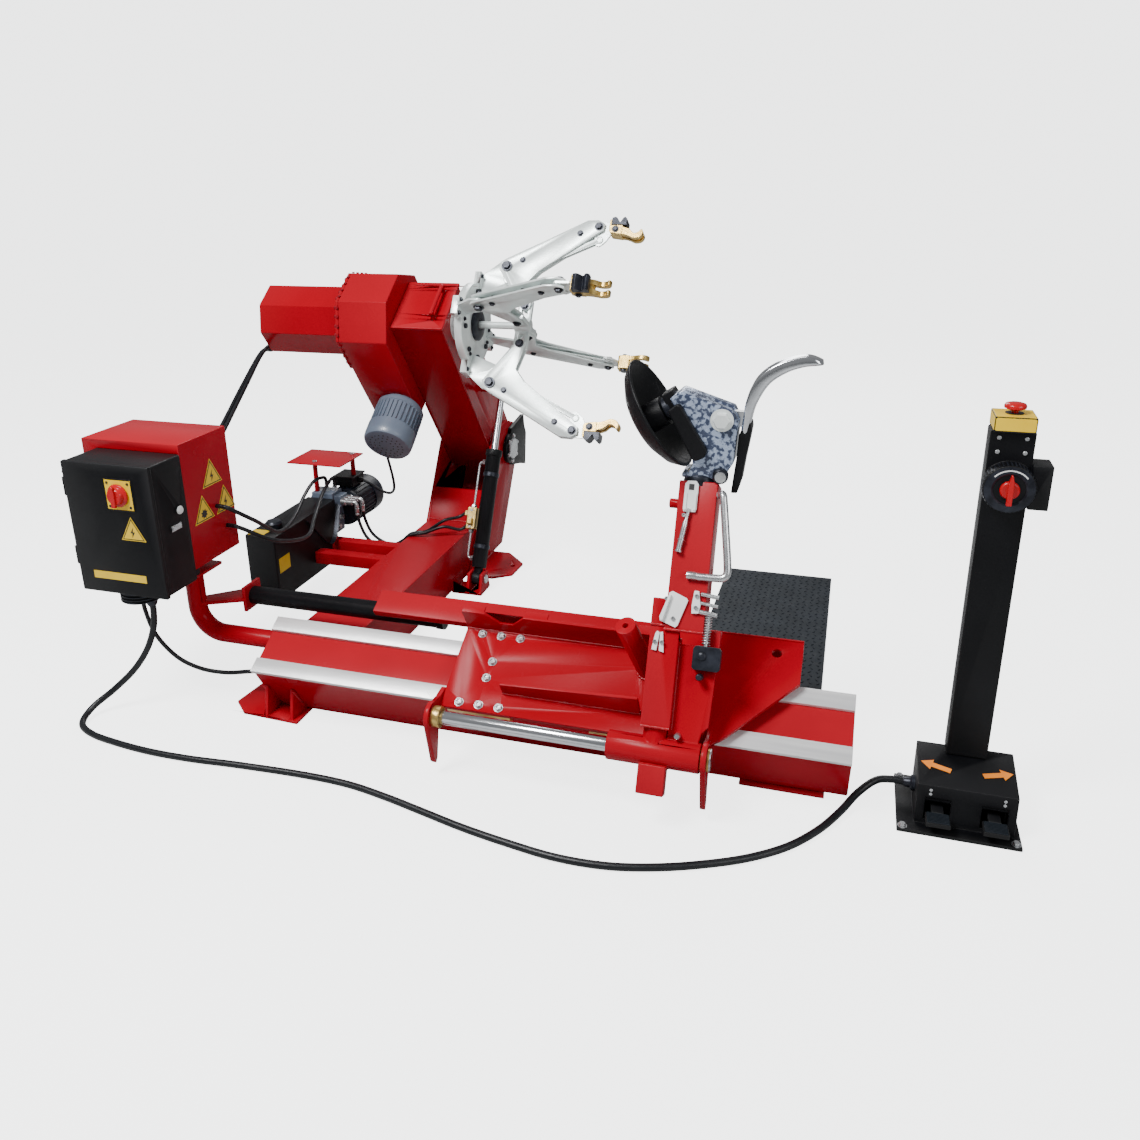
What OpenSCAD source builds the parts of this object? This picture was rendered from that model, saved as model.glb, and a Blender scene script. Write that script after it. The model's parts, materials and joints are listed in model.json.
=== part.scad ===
// Truck tyre changer: bed and column frame, lifting chuck arm, sliding tool carriage,
// hydraulic pump, switch cabinet and a free-standing pedal post.
// X runs along the bed, +Y points away from the operator, +Z is up. Millimetres.

/* [Bed] */
// Length of the bed tube
bed_len = 1780; // [1780:10:1800]
// Side of the square bed tube
bed_side = 190; // [188:1:191]
// Tilt of the bed tube's top face
bed_tilt = 30; // [29.8:0.1:30.2]

/* [Column and chuck arm] */
// Width of the cross beam and column
beam_w = 220; // [219:1:220]
// Lean of the chuck arm from vertical
arm_tilt = 37.3; // [37:0.1:37.5]
// Distance from the arm's pivot to the chuck's axis
arm_len = 800; // [795:1:803]

/* [Chuck] */
// Radius of the chuck's face plate
disc_r = 158; // [150:1:162]
// Angle of the first clamping arm, from straight up toward the back
first_jaw = 30; // [0:1:60]

/* [Tool arm] */
// Lean of the tool arm from vertical
tool_lean = 26.5; // [26:0.5:27]
// Radius of the bead disc
bead_r = 158; // [150:1:165]

/* [Hidden] */
red = [0.78, 0.02, 0.12];
black = [0.06, 0.06, 0.07];
zinc = [0.82, 0.84, 0.82];
chrome = [0.75, 0.76, 0.78];
brass = [0.78, 0.62, 0.28];
run = 0.05;                    // radial clearance of a running fit
bed_y = -890;                  // front top edge of the bed
bed_z = 180;
bed_x0 = -790;
bed_x1 = bed_x0 + bed_len;
rail_w = 50;
rail_t = 12;
arm_x = -680;                  // centre of the column and of the chuck arm
beam_x0 = arm_x - beam_w / 2;
beam_x1 = arm_x + beam_w / 2;
cheek_t = 14;
pivot_y = 840;
pivot_z = 430;
pivot_r = 35;
box_hw = 106;                  // half the width of the chuck arm's box section
chuck_y = pivot_y - arm_len * sin(arm_tilt);
chuck_z = pivot_z + arm_len * cos(arm_tilt);
disc_x = -520;                 // back face of the chuck's face plate
lift_x = -480;                 // lift cylinder: centre, base pin and rod pin
lift_b = [222, 55];
lift_q = [588, 760];
lift_len = norm(lift_q - lift_b);
lift_lean = atan2(lift_q[0] - lift_b[0], lift_q[1] - lift_b[1]);
shaft_y = -990;                // tool arm's shaft
shaft_z = 190;
shaft_r = 20;
tool_x = 546;
jaw_piv = [-395, 235];         // clamping arm's pivot: X and radius from the chuck's axis
link_piv = [-390, 185];
inner_pin = [-300, 75];
jaw_tip = [-50, 400];
link_tip = jaw_tip + link_piv - jaw_piv;
post_x = 1280;
head_at = [546, -655, 850];    // foot of the tool head
disc_at = [-121, 0, 164];      // bead disc's centre from there
disc_turn = 58.8;              // lean of the bead disc's axle
cable_r = 10;
hose_r = 7;
CABLE = [[-1120, -900, 395], [-1120, -900, 370], [-1120, -900, 345], [-1128, -903, 290], [-1158, -912, 215],
    [-1210, -928, 140], [-1275, -958, 75], [-1322, -1010, 32], [-1312, -1072, 12], [-1240, -1112, 11],
    [-1130, -1132, 11], [-1000, -1143, 11], [-860, -1141, 11], [-700, -1128, 11], [-500, -1118, 11],
    [-350, -1122, 11], [-220, -1145, 11], [-100, -1174, 11], [30, -1206, 11], [160, -1230, 11],
    [300, -1248, 11], [430, -1242, 11], [550, -1212, 11], [660, -1168, 11], [760, -1115, 11],
    [850, -1045, 11], [920, -960, 12], [972, -875, 18], [1015, -800, 34], [1060, -758, 54],
    [1100, -750, 60], [1130, -750, 60], [1162, -750, 60]];
HOSE_BED = [[-1170, -880, 395], [-1170, -880, 365], [-1170, -880, 335], [-1160, -862, 240],
    [-1120, -830, 150], [-1060, -800, 100], [-980, -780, 85], [-900, -770, 95], [-850, -770, 105],
    [-820, -770, 105], [-790, -770, 105]];
HOSE_A = [[-986, -700, 640], [-965, -700, 640], [-944, -690, 630], [-920, -600, 560], [-960, -420, 450],
    [-1040, -200, 410], [-1110, 0, 430], [-1135, 120, 450], [-1140, 205, 440], [-1140, 222, 420],
    [-1140, 222, 406], [-1140, 222, 392]];
HOSE_B = [[-986, -660, 560], [-965, -660, 560], [-940, -650, 550], [-890, -540, 470], [-925, -300, 390],
    [-1010, -100, 385], [-1068, 60, 415], [-1090, 160, 438], [-1106, 222, 436], [-1110, 235, 420],
    [-1110, 235, 406], [-1110, 235, 392]];

module box(x0, x1, y0, y1, z0, z1) { translate([x0, y0, z0]) cube([x1 - x0, y1 - y0, z1 - z0]); }
module rod_x(x0, x1, y, z, r) {
    translate([x0, y, z]) rotate([0, 90, 0]) cylinder(h = x1 - x0, r = r, $fn = 48);
}
module rod_y(y0, y1, x, z, r) {
    translate([x, y0, z]) rotate([-90, 0, 0]) cylinder(h = y1 - y0, r = r, $fn = 48);
}
module rod_z(z0, z1, x, y, r) { translate([x, y, z0]) cylinder(h = z1 - z0, r = r, $fn = 48); }
// Plates cut from an outline: of Y and Z, of X and Z, of X and Y
module plate_x(x0, t, pts) { translate([x0, 0, 0]) rotate([90, 0, 90]) linear_extrude(t) polygon(pts); }
module plate_y(y0, t, pts) { translate([0, y0 + t, 0]) rotate([90, 0, 0]) linear_extrude(t) polygon(pts); }
module plate_z(z0, t, pts) { translate([0, 0, z0]) linear_extrude(t) polygon(pts); }
module shell(x0, x1, y0, y1, z0, z1, t) {
    difference() {
        box(x0, x1, y0, y1, z0, z1);
        box(x0 + t, x1 - t, y0 + t, y1 - t, z0 + t, z1 - t);
    }
}
// Frames: the tilted bed (x, up the slope, normal), the chuck arm, the tool arm, the tool head
module on_bed() { translate([0, bed_y, bed_z]) rotate([bed_tilt, 0, 0]) children(); }
module on_arm() { translate([arm_x, pivot_y, pivot_z]) rotate([arm_tilt, 0, 0]) children(); }
module on_tool() { translate([tool_x, shaft_y, shaft_z]) rotate([-tool_lean, 0, 0]) children(); }
module on_head() { translate(head_at) children(); }
module on_lift() { translate([lift_x, lift_b[0], lift_b[1]]) rotate([-lift_lean, 0, 0]) children(); }
// Chuck frame turned to one clamping arm: X stays, local z is the radius, local y the side
module on_jaw(i) { translate([0, chuck_y, chuck_z]) rotate([-first_jaw - 90 * i, 0, 0]) children(); }
// Outline in X and radius, thick from side a to side b, and its mirror image
module jaw_pair(a, b) {
    for (m = [0, 1]) mirror([0, m, 0]) translate([0, b, 0]) rotate([90, 0, 0])
        linear_extrude(b - a) children();
}
module bed_block(grow) { on_bed() box(bed_x0 - grow, bed_x1 + grow, 0, bed_side, -bed_side, 0); }
function octagon(af) = [for (i = [0:7]) af / 2 / cos(22.5) * [cos(45 * i + 22.5), sin(45 * i + 22.5)]];
function gear_points(r, n, h) = [for (i = [0:n - 1], k = [0:3])
    (k == 0 || k == 3 ? r - h : r) * [cos(360 * (i + k / 4.6) / n), sin(360 * (i + k / 4.6) / n)]];

// A round tube swept along a smooth path
function bend(p, i, t) = let (n = len(p) - 1, a = p[max(i - 1, 0)], b = p[i], c = p[min(i + 1, n)],
    d = p[min(i + 2, n)])
    0.5 * (2 * b + (c - a) * t + (2 * a - 5 * b + 4 * c - d) * t * t + (3 * b - a - 3 * c + d) * t * t * t);
function smooth(p, k) = [for (i = [0:len(p) - 2], j = [0:k - 1]) bend(p, i, j / k), p[len(p) - 1]];
function unit(v) = v / norm(v);
function carry(v, t) = unit(v - (v * t) * t);
function heading(p, i) = unit(p[min(i + 1, len(p) - 1)] - p[max(i - 1, 0)]);
function sides(p, i = 0, v = [1, 0.2, 0.1]) = i == len(p) ? [] :
    let (w = carry(v, heading(p, i))) concat([w], sides(p, i + 1, w));
module tube(path, r, k) {
    p = smooth(path, k);
    n = len(p);
    s = sides(p);
    m = 8;
    ring = [for (i = [0:n - 1]) let (b = cross(heading(p, i), s[i])) [for (j = [0:m - 1])
        p[i] + r * (cos(360 * j / m) * s[i] + sin(360 * j / m) * b)]];
    points = [for (q = ring) each q];
    walls = [for (i = [0:n - 2], j = [0:m - 1]) let (a = i * m + j, b = i * m + (j + 1) % m) each
        [[a, b, b + m], [a, b + m, a + m]]];
    ends = [[for (j = [0:m - 1]) m - 1 - j], [for (j = [0:m - 1]) (n - 1) * m + j]];
    polyhedron(points, [for (f = concat(walls, ends)) [for (e = [len(f) - 1:-1:0]) f[e]]]);
}

// ---- Frame ----
module foot_holes(x, y) { for (q = x) translate([q, y, -1]) cylinder(h = 14, r = 9, $fn = 32); }
module bed_beam() {
    color(red) difference() {
        union() {
            on_bed() box(bed_x0, bed_x1, 0, bed_side, -bed_side, 0);
            plate_z(0, 10, [[-919, -815], [-860, -868], [-661, -877], [-661, -545], [-890, -545]]);
            plate_z(0, 10, [[700, -806], [930, -806], [930, -545], [700, -545]]);
            for (x = [-780, -690]) plate_x(x, 12, [[-872, 9], [-795, 9], [-795, 22], [-852, 112]]);
            for (x = [720, 870]) plate_x(x, 12, [[-796, 9], [-645, 9], [-645, 102]]);
        }
        on_bed() box(bed_x0 + 8, bed_x1 - 8, 8, bed_side - 8, 8 - bed_side, -8);
        on_bed() rod_x(bed_x0 - 1, bed_x1 + 1, bed_side / 2, -60, 12);
        foot_holes([-860, 900], -570);
    }
}
module guide_rails() {
    color(chrome) on_bed() {
        box(bed_x0, bed_x1, -8, rail_w - 8, 0, rail_t);
        box(bed_x0, bed_x1, 148, 148 + rail_w, 0, rail_t);
    }
}
module cross_beam() {
    color(red) difference() {
        union() {
            difference() {
                box(beam_x0, beam_x1, -700, 600, 10, 200);
                box(beam_x0 + 8, beam_x1 - 8, -720, 592, 18, 192);
            }
            box(-1080, beam_x0, -15, 35, 150, 200);
            box(-1080, beam_x0, 120, 170, 150, 200);
            // Clevis for the lift cylinder's base
            for (x = [lift_x - 34, lift_x + 20]) plate_x(x, 14, [[170, 10], [274, 10], [250, 84], [194, 84]]);
            box(beam_x1 - 4, lift_x + 34, 170, 274, 0, 10.5);
            box(beam_x1 - 4, beam_x1 + 6, 170, 274, 0, 60);
            rod_x(lift_x - 34, lift_x + 34, lift_b[0], lift_b[1], 12);
        }
        bed_block(10);
        box(beam_x0 - 1, lift_x + 50, -720, -600, -1, 10);
    }
}
module rear_column() {
    cheek = [[340, 10], [726, 10], [949, 358], [965, 450], [925, 530], [840, 560], [700, 545], [647, 496],
        [473, 221]];
    color(red) difference() {
        union() {
            for (x = [beam_x0 - cheek_t, beam_x1]) plate_x(x, cheek_t, cheek);
            plate_x(beam_x0, beam_w, [[460, 200], [472, 200], [548, 320], [536, 320]]);
            plate_x(beam_x0, beam_w, [[714, 10], [726, 10], [931, 330], [919, 330]]);
            plate_z(0, 10, [[beam_x1 - 10, 343], [-464, 343], [-392, 395], [-386, 520], [-481, 619],
                [-879, 619], [-974, 520], [-968, 395], [-896, 343]]);
        }
        rod_x(-900, -500, pivot_y, pivot_z, pivot_r + run);
        foot_holes([-940, -420], 480);
    }
}
module pivot_shaft() { color(chrome) rod_x(-830, -530, pivot_y, pivot_z, pivot_r); }
module pivot_bearings() {
    plate = [[790, 400], [860, 345], [946, 326], [1030, 300], [1052, 450], [1030, 490], [1020, 545],
        [850, 520]];
    color(black) for (x = [beam_x0 - cheek_t - 18, beam_x1 + cheek_t]) difference() {
        union() {
            plate_x(x, 18, plate);
            rod_x(x, x + 18, pivot_y, pivot_z, 68);
        }
        rod_x(x - 1, x + 19, pivot_y, pivot_z, pivot_r + run);
    }
}

// ---- Carriage drive ----
module carriage_cylinder() {
    color(black) on_bed() difference() {
        union() {
            rod_x(-930, -240, 279, -8, 30);
            rod_x(-262, -236, 279, -8, 33);
        }
        rod_x(-915, -262, 279, -8, 25);
        rod_x(-263, -235, 279, -8, 14 + run);
    }
}
module cylinder_rod() {
    color(chrome) on_bed() {
        rod_x(-450, 392, 279, -8, 14);
        difference() {
            rod_x(-465, -435, 279, -8, 24.9);
            rod_x(-466, -434, 279, -8, 13);
        }
    }
}
module cabinet_support() {
    color(red) {
        rod_z(300, 440, -1080, -740, 30);
        translate([-990, -740, 300]) rotate([90, 180, 0]) rotate_extrude(angle = 90, $fn = 48)
            translate([90, 0]) circle(r = 30, $fn = 32);
        rod_x(-990, bed_x0, -740, 210, 30);
        plate_z(306, 12, [[-1080, -766], [-930, -690], [-930, -600], [-960, -600], [-1090, -712]]);
        box(-942, -930, -690, -600, 270, 355);
        box(-1130, -1010, -800, -680, 430, 440);
    }
}

// ---- Cabinet ----
module cabinet_shell() {
    color(red) difference() {
        shell(-1340, -987, -840, -605, 475, 880, 3);
        box(-1288, -992, -850, -800, 485, 850);
    }
}
module cabinet_enclosure() {
    color(black) {
        difference() {
            box(-1288, -985, -970, -840, 444, 852);
            box(-1283, -990, -980, -845, 449, 847);
        }
        box(-1130, -1010, -840, -790, 440, 475);
        box(-1130, -1010, -850, -839, 444, 475);
        rod_z(395, 444, -1145, -905, 62);
        rod_x(-985, -979, -880, 690, 10);
        box(-985, -980, -925, -880, 634, 652);
        for (z = [520, 740]) rod_z(z, z + 30, -1297, -975, 7);
        for (z = [520, 740]) box(-1297, -1284, -972.5, -966, z, z + 30);
        for (z = [550, 770]) rod_z(z - 1, z + 28, -1297, -975, 3);
    }
}
module electric_panel() {
    color(zinc) {
        box(-1270, -1003, -848, -845, 476, 830);
        for (i = [0:4]) box(-1260 + 50 * i, -1222 + 50 * i, -910, -848, 690, 780);
        for (i = [0:2]) box(-1255 + 80 * i, -1190 + 80 * i, -900, -848, 550, 640);
    }
}
module cabinet_door() {
    color(black) difference() {
        union() {
            box(-1288, -980, -990, -973, 440, 855);
            for (z = [550.4, 770.4]) {
                rod_z(z, z + 28, -1297, -975, 7);
                box(-1297, -1284, -981, -973, z, z + 28);
            }
            box(-1136, -1044, -993, -989, 719, 811);
        }
        for (z = [550, 770]) rod_z(z - 1, z + 30, -1297, -975, 3 + run);
        rod_y(-1000, -960, -1090, 765, 6 + run);
    }
}
module main_switch() {
    color("crimson") {
        rod_y(-1000, -993.5, -1090, 765, 34);
        rod_y(-1020, -999, -1090, 765, 24);
        box(-1097, -1083, -1024, -999, 733, 797);
        rod_y(-994, -966, -1090, 765, 6);
    }
}

// ---- Pump ----
module pump_tank() {
    color(black) difference() {
        box(-1205, -1080, -280, 180, 100, 360);
        box(-1201, -1084, -276, 176, 104, 356);
        rod_z(350, 370, -1140, -180, 20);
    }
}
module pump_unit() {
    color("dimgray") {
        box(-1190, -1092, 180, 262, 200, 380);
        rod_y(262, 480, -1100, 290, 84);
        rod_y(480, 500, -1100, 290, 70);
        rod_z(356, 392, -1140, -180, 19.9);
        box(-1150, -1060, 300, 400, 372, 410);
        for (x = [-1140, -1110]) rod_z(380, 392, x, x == -1140 ? 222 : 235, 9);
    }
}
module pump_guard() {
    color(red) {
        box(-1285, -1038, 170, 370, 500, 506);
        rod_z(380, 500, -1172, 200, 10);
        rod_z(410, 500, -1075, 340, 10);
    }
}
module floor_mat() {
    color(black) plate_z(0, 8, [[455, -540], [900, -540], [900, 710], [475, 710]]);
}

// ---- Pedal post ----
module control_post() {
    color(black) {
        difference() {
            union() {
                box(1114, 1413, -890, -640, 0, 10);
                plate_x(1158, 240, [[-850, 9], [-680, 9], [-680, 150], [-840, 120]]);
            }
            plate_x(1162, 232, [[-846, 10], [-684, 10], [-684, 146], [-836, 116]]);
            for (x = [1180, 1316]) box(x - 1, x + 61, -860, -840, 22, 84);
            rod_x(1100, 1163, -750, 60, cable_r);
        }
        for (x = [1176, 1244, 1306, 1374]) box(x, x + 6, -815, -790, 10, 66);
        for (x = [1176, 1312]) rod_x(x + 2, x + 72, -802, 50, 5);
        difference() {
            box(post_x - 50, post_x + 50, -720, -660, 145, 1035);
            box(post_x - 46, post_x + 46, -716, -664, 140, 1031);
            box(post_x + 40, post_x + 60, -700, -680, 890, 920);
        }
        rod_y(-760, -720, post_x + 2, 905, 58);
        box(post_x + 50, post_x + 95, -735, -668, 850, 960);
        difference() {
            box(post_x - 46, post_x + 46, -735, -645, 1035, 1073);
            rod_z(1037, 1080, post_x, -690, 8 + run);
        }
    }
}
module estop_button() {
    color("red") {
        rod_z(1081, 1100, post_x, -690, 25);
        rod_z(1045, 1082, post_x, -690, 8);
    }
}
module selector_knob() {
    color("crimson") {
        rod_y(-772, -760.5, post_x + 2, 905, 22);
        box(post_x - 5, post_x + 9, -784, -770, 870, 945);
    }
}
module pedal(x) {
    color(black) difference() {
        union() {
            box(x, x + 60, -905, -858, 40, 52);
            box(x + 15, x + 45, -862, -798, 42, 56);
            rod_x(x + 15, x + 45, -802, 50, 11);
        }
        rod_x(x - 1, x + 61, -802, 50, 5 + run);
    }
}
module pedal_left() { pedal(1180); }
module pedal_right() { pedal(1316); }
module control_cable() { color(black) tube(CABLE, cable_r, 2); }
module hoses() {
    color(black) {
        tube(HOSE_BED, hose_r, 2);
        tube(HOSE_A, hose_r, 2);
        tube(HOSE_B, hose_r, 2);
    }
}

// ---- Carriage ----
bolt_near = [[-80, -21], [-21, -21], [39, -21]];
bolt_far = [[-80, 211], [-21, 211], [39, 211]];
bolt_mid = [[-22, 122], [-24, 67]];
module bracket(x) {
    difference() {
        union() {
            rod_x(x, x + 14, shaft_y, shaft_z, 42);
            plate_x(x, 14, [[shaft_y - 42, shaft_z], [shaft_y + 42, shaft_z], [shaft_y + 12, 48],
                [shaft_y, 36], [shaft_y - 12, 48]]);
            on_bed() plate_x(x, 14, [[-82, 100], [-20, 62], [20, 45], [20, 31], [-38, 31], [-70, 20]]);
        }
        rod_x(x - 1, x + 15, shaft_y, shaft_z, shaft_r + run);
    }
}
module leaning_post() { translate([430, 165, 44]) rotate([-3, -13, 0]) children(); }
module carriage_frame() {
    color(red) {
        bracket(-148);
        bracket(620);
        on_bed() difference() {
            union() {
                plate_z(30, 15, [[-134, -40], [620, -40], [665, -5], [843, 187], [843, 320], [-134, 320]]);
                plate_y(26, 8, [[37, 44], [37, 92], [435, 125], [435, 44]]);
                plate_y(228, 8, [[-134, 44], [-134, 130], [-62, 130], [-22, 88], [18, 88], [58, 130],
                    [430, 130], [430, 44]]);
                for (x = [-134, 60, 395]) box(x, x + 70, 228, 256, 124, 130);
                box(-455, 430, 240, 322, 45, 50);
                box(-455, 843, 317, 322, -60, 50);
                box(-455, -134, 240, 245, 25, 50);
                box(380, 404, 268, 318, -30, 31);
                leaning_post() cylinder(h = 205, r = 29, $fn = 48);
            }
            leaning_post() translate([0, 0, 150]) cylinder(h = 60, r = 8, $fn = 32);
            translate([773, 274, 0]) cylinder(h = 100, r = 13.5, $fn = 32);
            for (b = concat(bolt_near, bolt_far, bolt_mid)) rod_z(20, 60, b[0], b[1], 6.2);
            rod_x(379, 405, 279, -8, 14 + run);
        }
    }
}
module slide_guides() {
    color(brass) on_bed() difference() {
        union() {
            for (x = [-120, 300]) {
                box(x, x + 190, 2, 40, 12.3, 30);
                box(x, x + 190, 152, 190, 12.3, 30);
                box(x, x + 190, -34, -8.4, -12, 30);
                box(x, x + 190, -9, -0.5, -12, -0.4);
                box(x, x + 190, 198.4, 226, -12, 30);
                box(x, x + 190, 190.5, 199, -12, -0.4);
            }
        }
        for (b = concat(bolt_near, bolt_far)) rod_z(-20, 60, b[0], b[1], 6.2);
    }
}
module carriage_bolts() {
    color(chrome) on_bed() for (b = concat(bolt_near, bolt_far, bolt_mid)) translate([b[0], b[1], 0]) {
        low = abs(b[1] - 95) < 60 ? 31 : -5;
        translate([0, 0, low]) cylinder(h = 45.5 - low, r = 6, $fn = 32);
        translate([0, 0, 45.1]) cylinder(h = 8, r = 10, $fn = 6);
    }
}
module arm_shaft() { color(chrome) rod_x(-156, 644, shaft_y, shaft_z, shaft_r); }
module ring_on_shaft(x, t, r) {
    difference() {
        rod_x(x, x + t, shaft_y, shaft_z, r);
        rod_x(x - 1, x + t + 1, shaft_y, shaft_z, shaft_r + run);
    }
}
module shaft_rings() {
    color(brass) {
        ring_on_shaft(-133.5, 24, 30);
        ring_on_shaft(634.2, 6, 30);
        ring_on_shaft(617.2, 2.4, 30);
    }
}

// ---- Tool arm ----
module tool_arm() {
    color(red) {
        difference() {
            union() {
                rod_x(370, 616.5, shaft_y, shaft_z, 39);
                on_tool() {
                    rod_z(20, 70, -53, 0, 32);
                    box(-90, -12, -38, 34, 62, 400);
                    plate_y(-12, 12, [[-20, 30], [60, 30], [68, 64], [84, 82], [92, 286], [-20, 286]]);
                    box(58, 92, -12, 22, 270, 330);
                    box(-52, 50, -45, 45, 320, 716);
                    box(-84, -12, -40, 0, -106, -30);
                    rod_x(-76, -50, -20, 655, 13);
                }
            }
            rod_x(369, 618, shaft_y, shaft_z, shaft_r + run);
            on_tool() box(-44, 42, -37, 37, 300, 690);
            on_tool() box(-82, -20, -30, 26, 90, 330);
            on_tool() rod_z(680, 720, 0, 0, 28 + run);
        }
    }
}
module arm_levers() {
    color(zinc) on_tool() {
        // Clevis with its rod, latch plate, catch, lock block and swinging handle
        box(-36, 2, -53, -45, 628, 716);
        translate([-36, -54, 522]) rotate([0, 7, 0]) cylinder(h = 112, r = 7.5, $fn = 32);
        plate_y(-53, 8, [[-66, 338], [-20, 324], [6, 404], [-40, 424]]);
        plate_y(-46, 8, [[-82, 262], [-46, 256], [-54, 316], [-70, 316]]);
        box(14, 38, -57, -45, 366, 430);
        box(28, 100, -46, -12, 226, 288);
        rod_y(-50, -12, 50, 208, 9);
        rod_x(-6, 98, -55, 466, 9);
        translate([97, -55, 468]) rotate([0, -8.5, 0]) cylinder(h = 222, r = 9, $fn = 32);
        box(50, 70, -62, -28, 672, 692);
    }
}

// ---- Tool head ----
module head_casting() {
    color("slategray") {
        on_tool() rod_z(650, 745, 0, 0, 28);
        on_head() difference() {
            union() {
                plate_y(-42, 84, [[-50, 4], [58, 4], [84, 50], [92, 160], [76, 192], [-60, 236], [-84, 212],
                    [-14, 96], [-24, 66], [-22, 38], [-32, 19], [-50, 16]]);
                plate_y(-30, 60, [[-112, 219], [-84, 236], [44, 25], [19, 8]]);
            }
            rod_y(-60, 60, 51, 166, 12);
            box(26, 100, -9.2, 9.2, 136, 210);
        }
        on_head() translate(disc_at) rotate([0, disc_turn, 0]) {
            translate([0, 0, -58]) cylinder(h = 110, r = 15, $fn = 48);
            translate([0, 0, -66]) cylinder(h = 8, r = 26, $fn = 48);
        }
    }
}
module bead_hook() {
    color(chrome) on_head() {
        plate_y(-28, 56, [[84, -36], [96, -34], [106, 8], [112, 62], [121, 115], [126, 175], [139, 215],
            [165, 262], [209, 292], [247, 306], [290, 310], [295, 326], [274, 338], [247, 340], [192, 330],
            [149, 308], [118, 276], [103, 240], [100, 189], [99, 160], [94, 115], [92, 62], [82, -25]]);
        plate_y(-9, 18, [[36, 150], [100, 140], [102, 186], [40, 186]]);
        rod_y(-46, 46, 51, 166, 11.9);
        for (s = [42.1, -58.1]) translate([51, s, 166]) rotate([-90, 0, 0]) cylinder(h = 16, r = 22, $fn = 6);
    }
}
module bead_disc() {
    color(black) on_head() translate(disc_at) rotate([0, disc_turn, 0]) rotate_extrude($fn = 72)
        polygon([[15 + run, -56], [52, -56], [100, -44], [138, -22], [bead_r, 2], [bead_r, 8], [150, 8],
            [130, -12], [96, -34], [50, -46], [40, -46], [40, 20], [15 + run, 20]]);
}

// ---- Lift cylinder ----
module lift_barrel() {
    color(black) on_lift() difference() {
        union() {
            rod_z(20, 46, 0, 0, 18);
            rod_z(44, 530, 0, 0, 30);
            rod_z(508, 534, 0, 0, 34);
            rod_x(-16, 16, 0, 0, 26);
        }
        rod_z(56, 510, 0, 0, 24);
        rod_z(505, 540, 0, 0, 13.5 + run);
        rod_x(-17, 17, 0, 0, 12 + run);
    }
}
module lift_rod() {
    color(chrome) on_lift() difference() {
        union() {
            rod_z(290, lift_len - 20, 0, 0, 13.5);
            rod_z(280, 310, 0, 0, 23.9);
            rod_x(-15, 15, 0, lift_len, 26);
        }
        rod_x(-17, 17, 0, lift_len, 15);
    }
}

// ---- Chuck arm ----
house = [[-76, 985], [76, 985], [185, 876], [185, 724], [110, 640], [110, 440], [-190, 440], [-190, 620],
    [-185, 876]];
module lift_arm() {
    color(red) on_arm() {
        difference() {
            union() {
                difference() {
                    box(-box_hw, box_hw, -118, 118, 0, 890);
                    box(10 - box_hw, box_hw - 10, -108, 108, -1, 880);
                }
                rod_x(-box_hw, box_hw, 0, 0, 60);
                box(-box_hw, 110, -122, 122, 890, 900);
                rod_x(box_hw - 1, 183, 0, 415, 14);
                for (y = [-70, 70]) rod_z(898, 930, 60, y, 8);
                translate([0, 0, 930]) rod_y(-78, 78, 60, 0, 8);
            }
            rod_x(-box_hw - 1, box_hw + 1, 0, 0, pivot_r + run);
            rod_x(-box_hw - 1, box_hw + 1, 0, arm_len, 62);
        }
    }
}
module gear_housing() {
    color(red) on_arm() difference() {
        plate_x(-310, 204, house);
        difference() {
            plate_x(-302, 188, [for (p = house) [p[0] * 0.95, 712 + (p[1] - 712) * 0.955]]);
            rod_x(-330, -300, 0, 0, 1);
        }
        rod_x(-311, -301, 0, arm_len, 100);
        rod_x(-116, -105, 0, arm_len, 62);
        rod_y(-192, -170, -170, 500, 26);
    }
}
module spindle_cover() {
    color(red) on_arm() difference() {
        union() {
            translate([-322, 0, arm_len]) rotate([90, 0, 90]) linear_extrude(12) polygon(octagon(370));
            translate([-692, 0, arm_len]) rotate([90, 0, 90]) linear_extrude(371) polygon(octagon(265));
        }
        translate([-688, 0, arm_len]) rotate([90, 0, 90]) linear_extrude(400) polygon(octagon(257));
    }
    color(black) on_arm() for (y = [-30, 30]) rod_x(-733, -692, y, arm_len - 40, 13);
}
module housing_bolts() {
    color("darkred") on_arm() for (i = [0:15]) let (a = 22.5 * i + 11.25)
        translate([-330, 168 * cos(a), arm_len + 168 * sin(a)]) rotate([0, 90, 0])
            cylinder(h = 8, r = 9, $fn = 6);
}
module drive_motor() {
    color("gray") on_arm() difference() {
        union() {
            rod_y(-360, -202, -170, 500, 100);
            rod_y(-202, -190, -170, 500, 84);
            rod_y(-392, -360, -170, 500, 92);
            box(-225, -115, -330, -230, 390, 425);
        }
        rod_y(-350, -210, -170, 500, 80);
        rod_y(-212, -189, -170, 500, 12 + run);
    }
}
module bearing_ring(x, t) {
    difference() {
        rod_x(x, x + t, 0, arm_len, 62);
        rod_x(x - 1, x + t + 1, 0, arm_len, 40 + run);
    }
}
module spindle_bearings() {
    color(chrome) on_arm() for (x = [-box_hw - 8, box_hw - 28]) bearing_ring(x, 28);
}
module worm_shaft() {
    color(chrome) on_arm() {
        rod_y(-344, 30, -170, 500, 12);
        rod_y(-330, -230, -170, 500, 60);
        rod_y(-120, 20, -170, 500, 24);
    }
}
module pinion_shaft() {
    color(chrome) on_arm() {
        rod_x(-290, -126, 0, 598, 14);
        rod_x(-200, -140, 0, 598, 72);
        rod_x(-270, -225, 0, 598, 48);
    }
}
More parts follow.
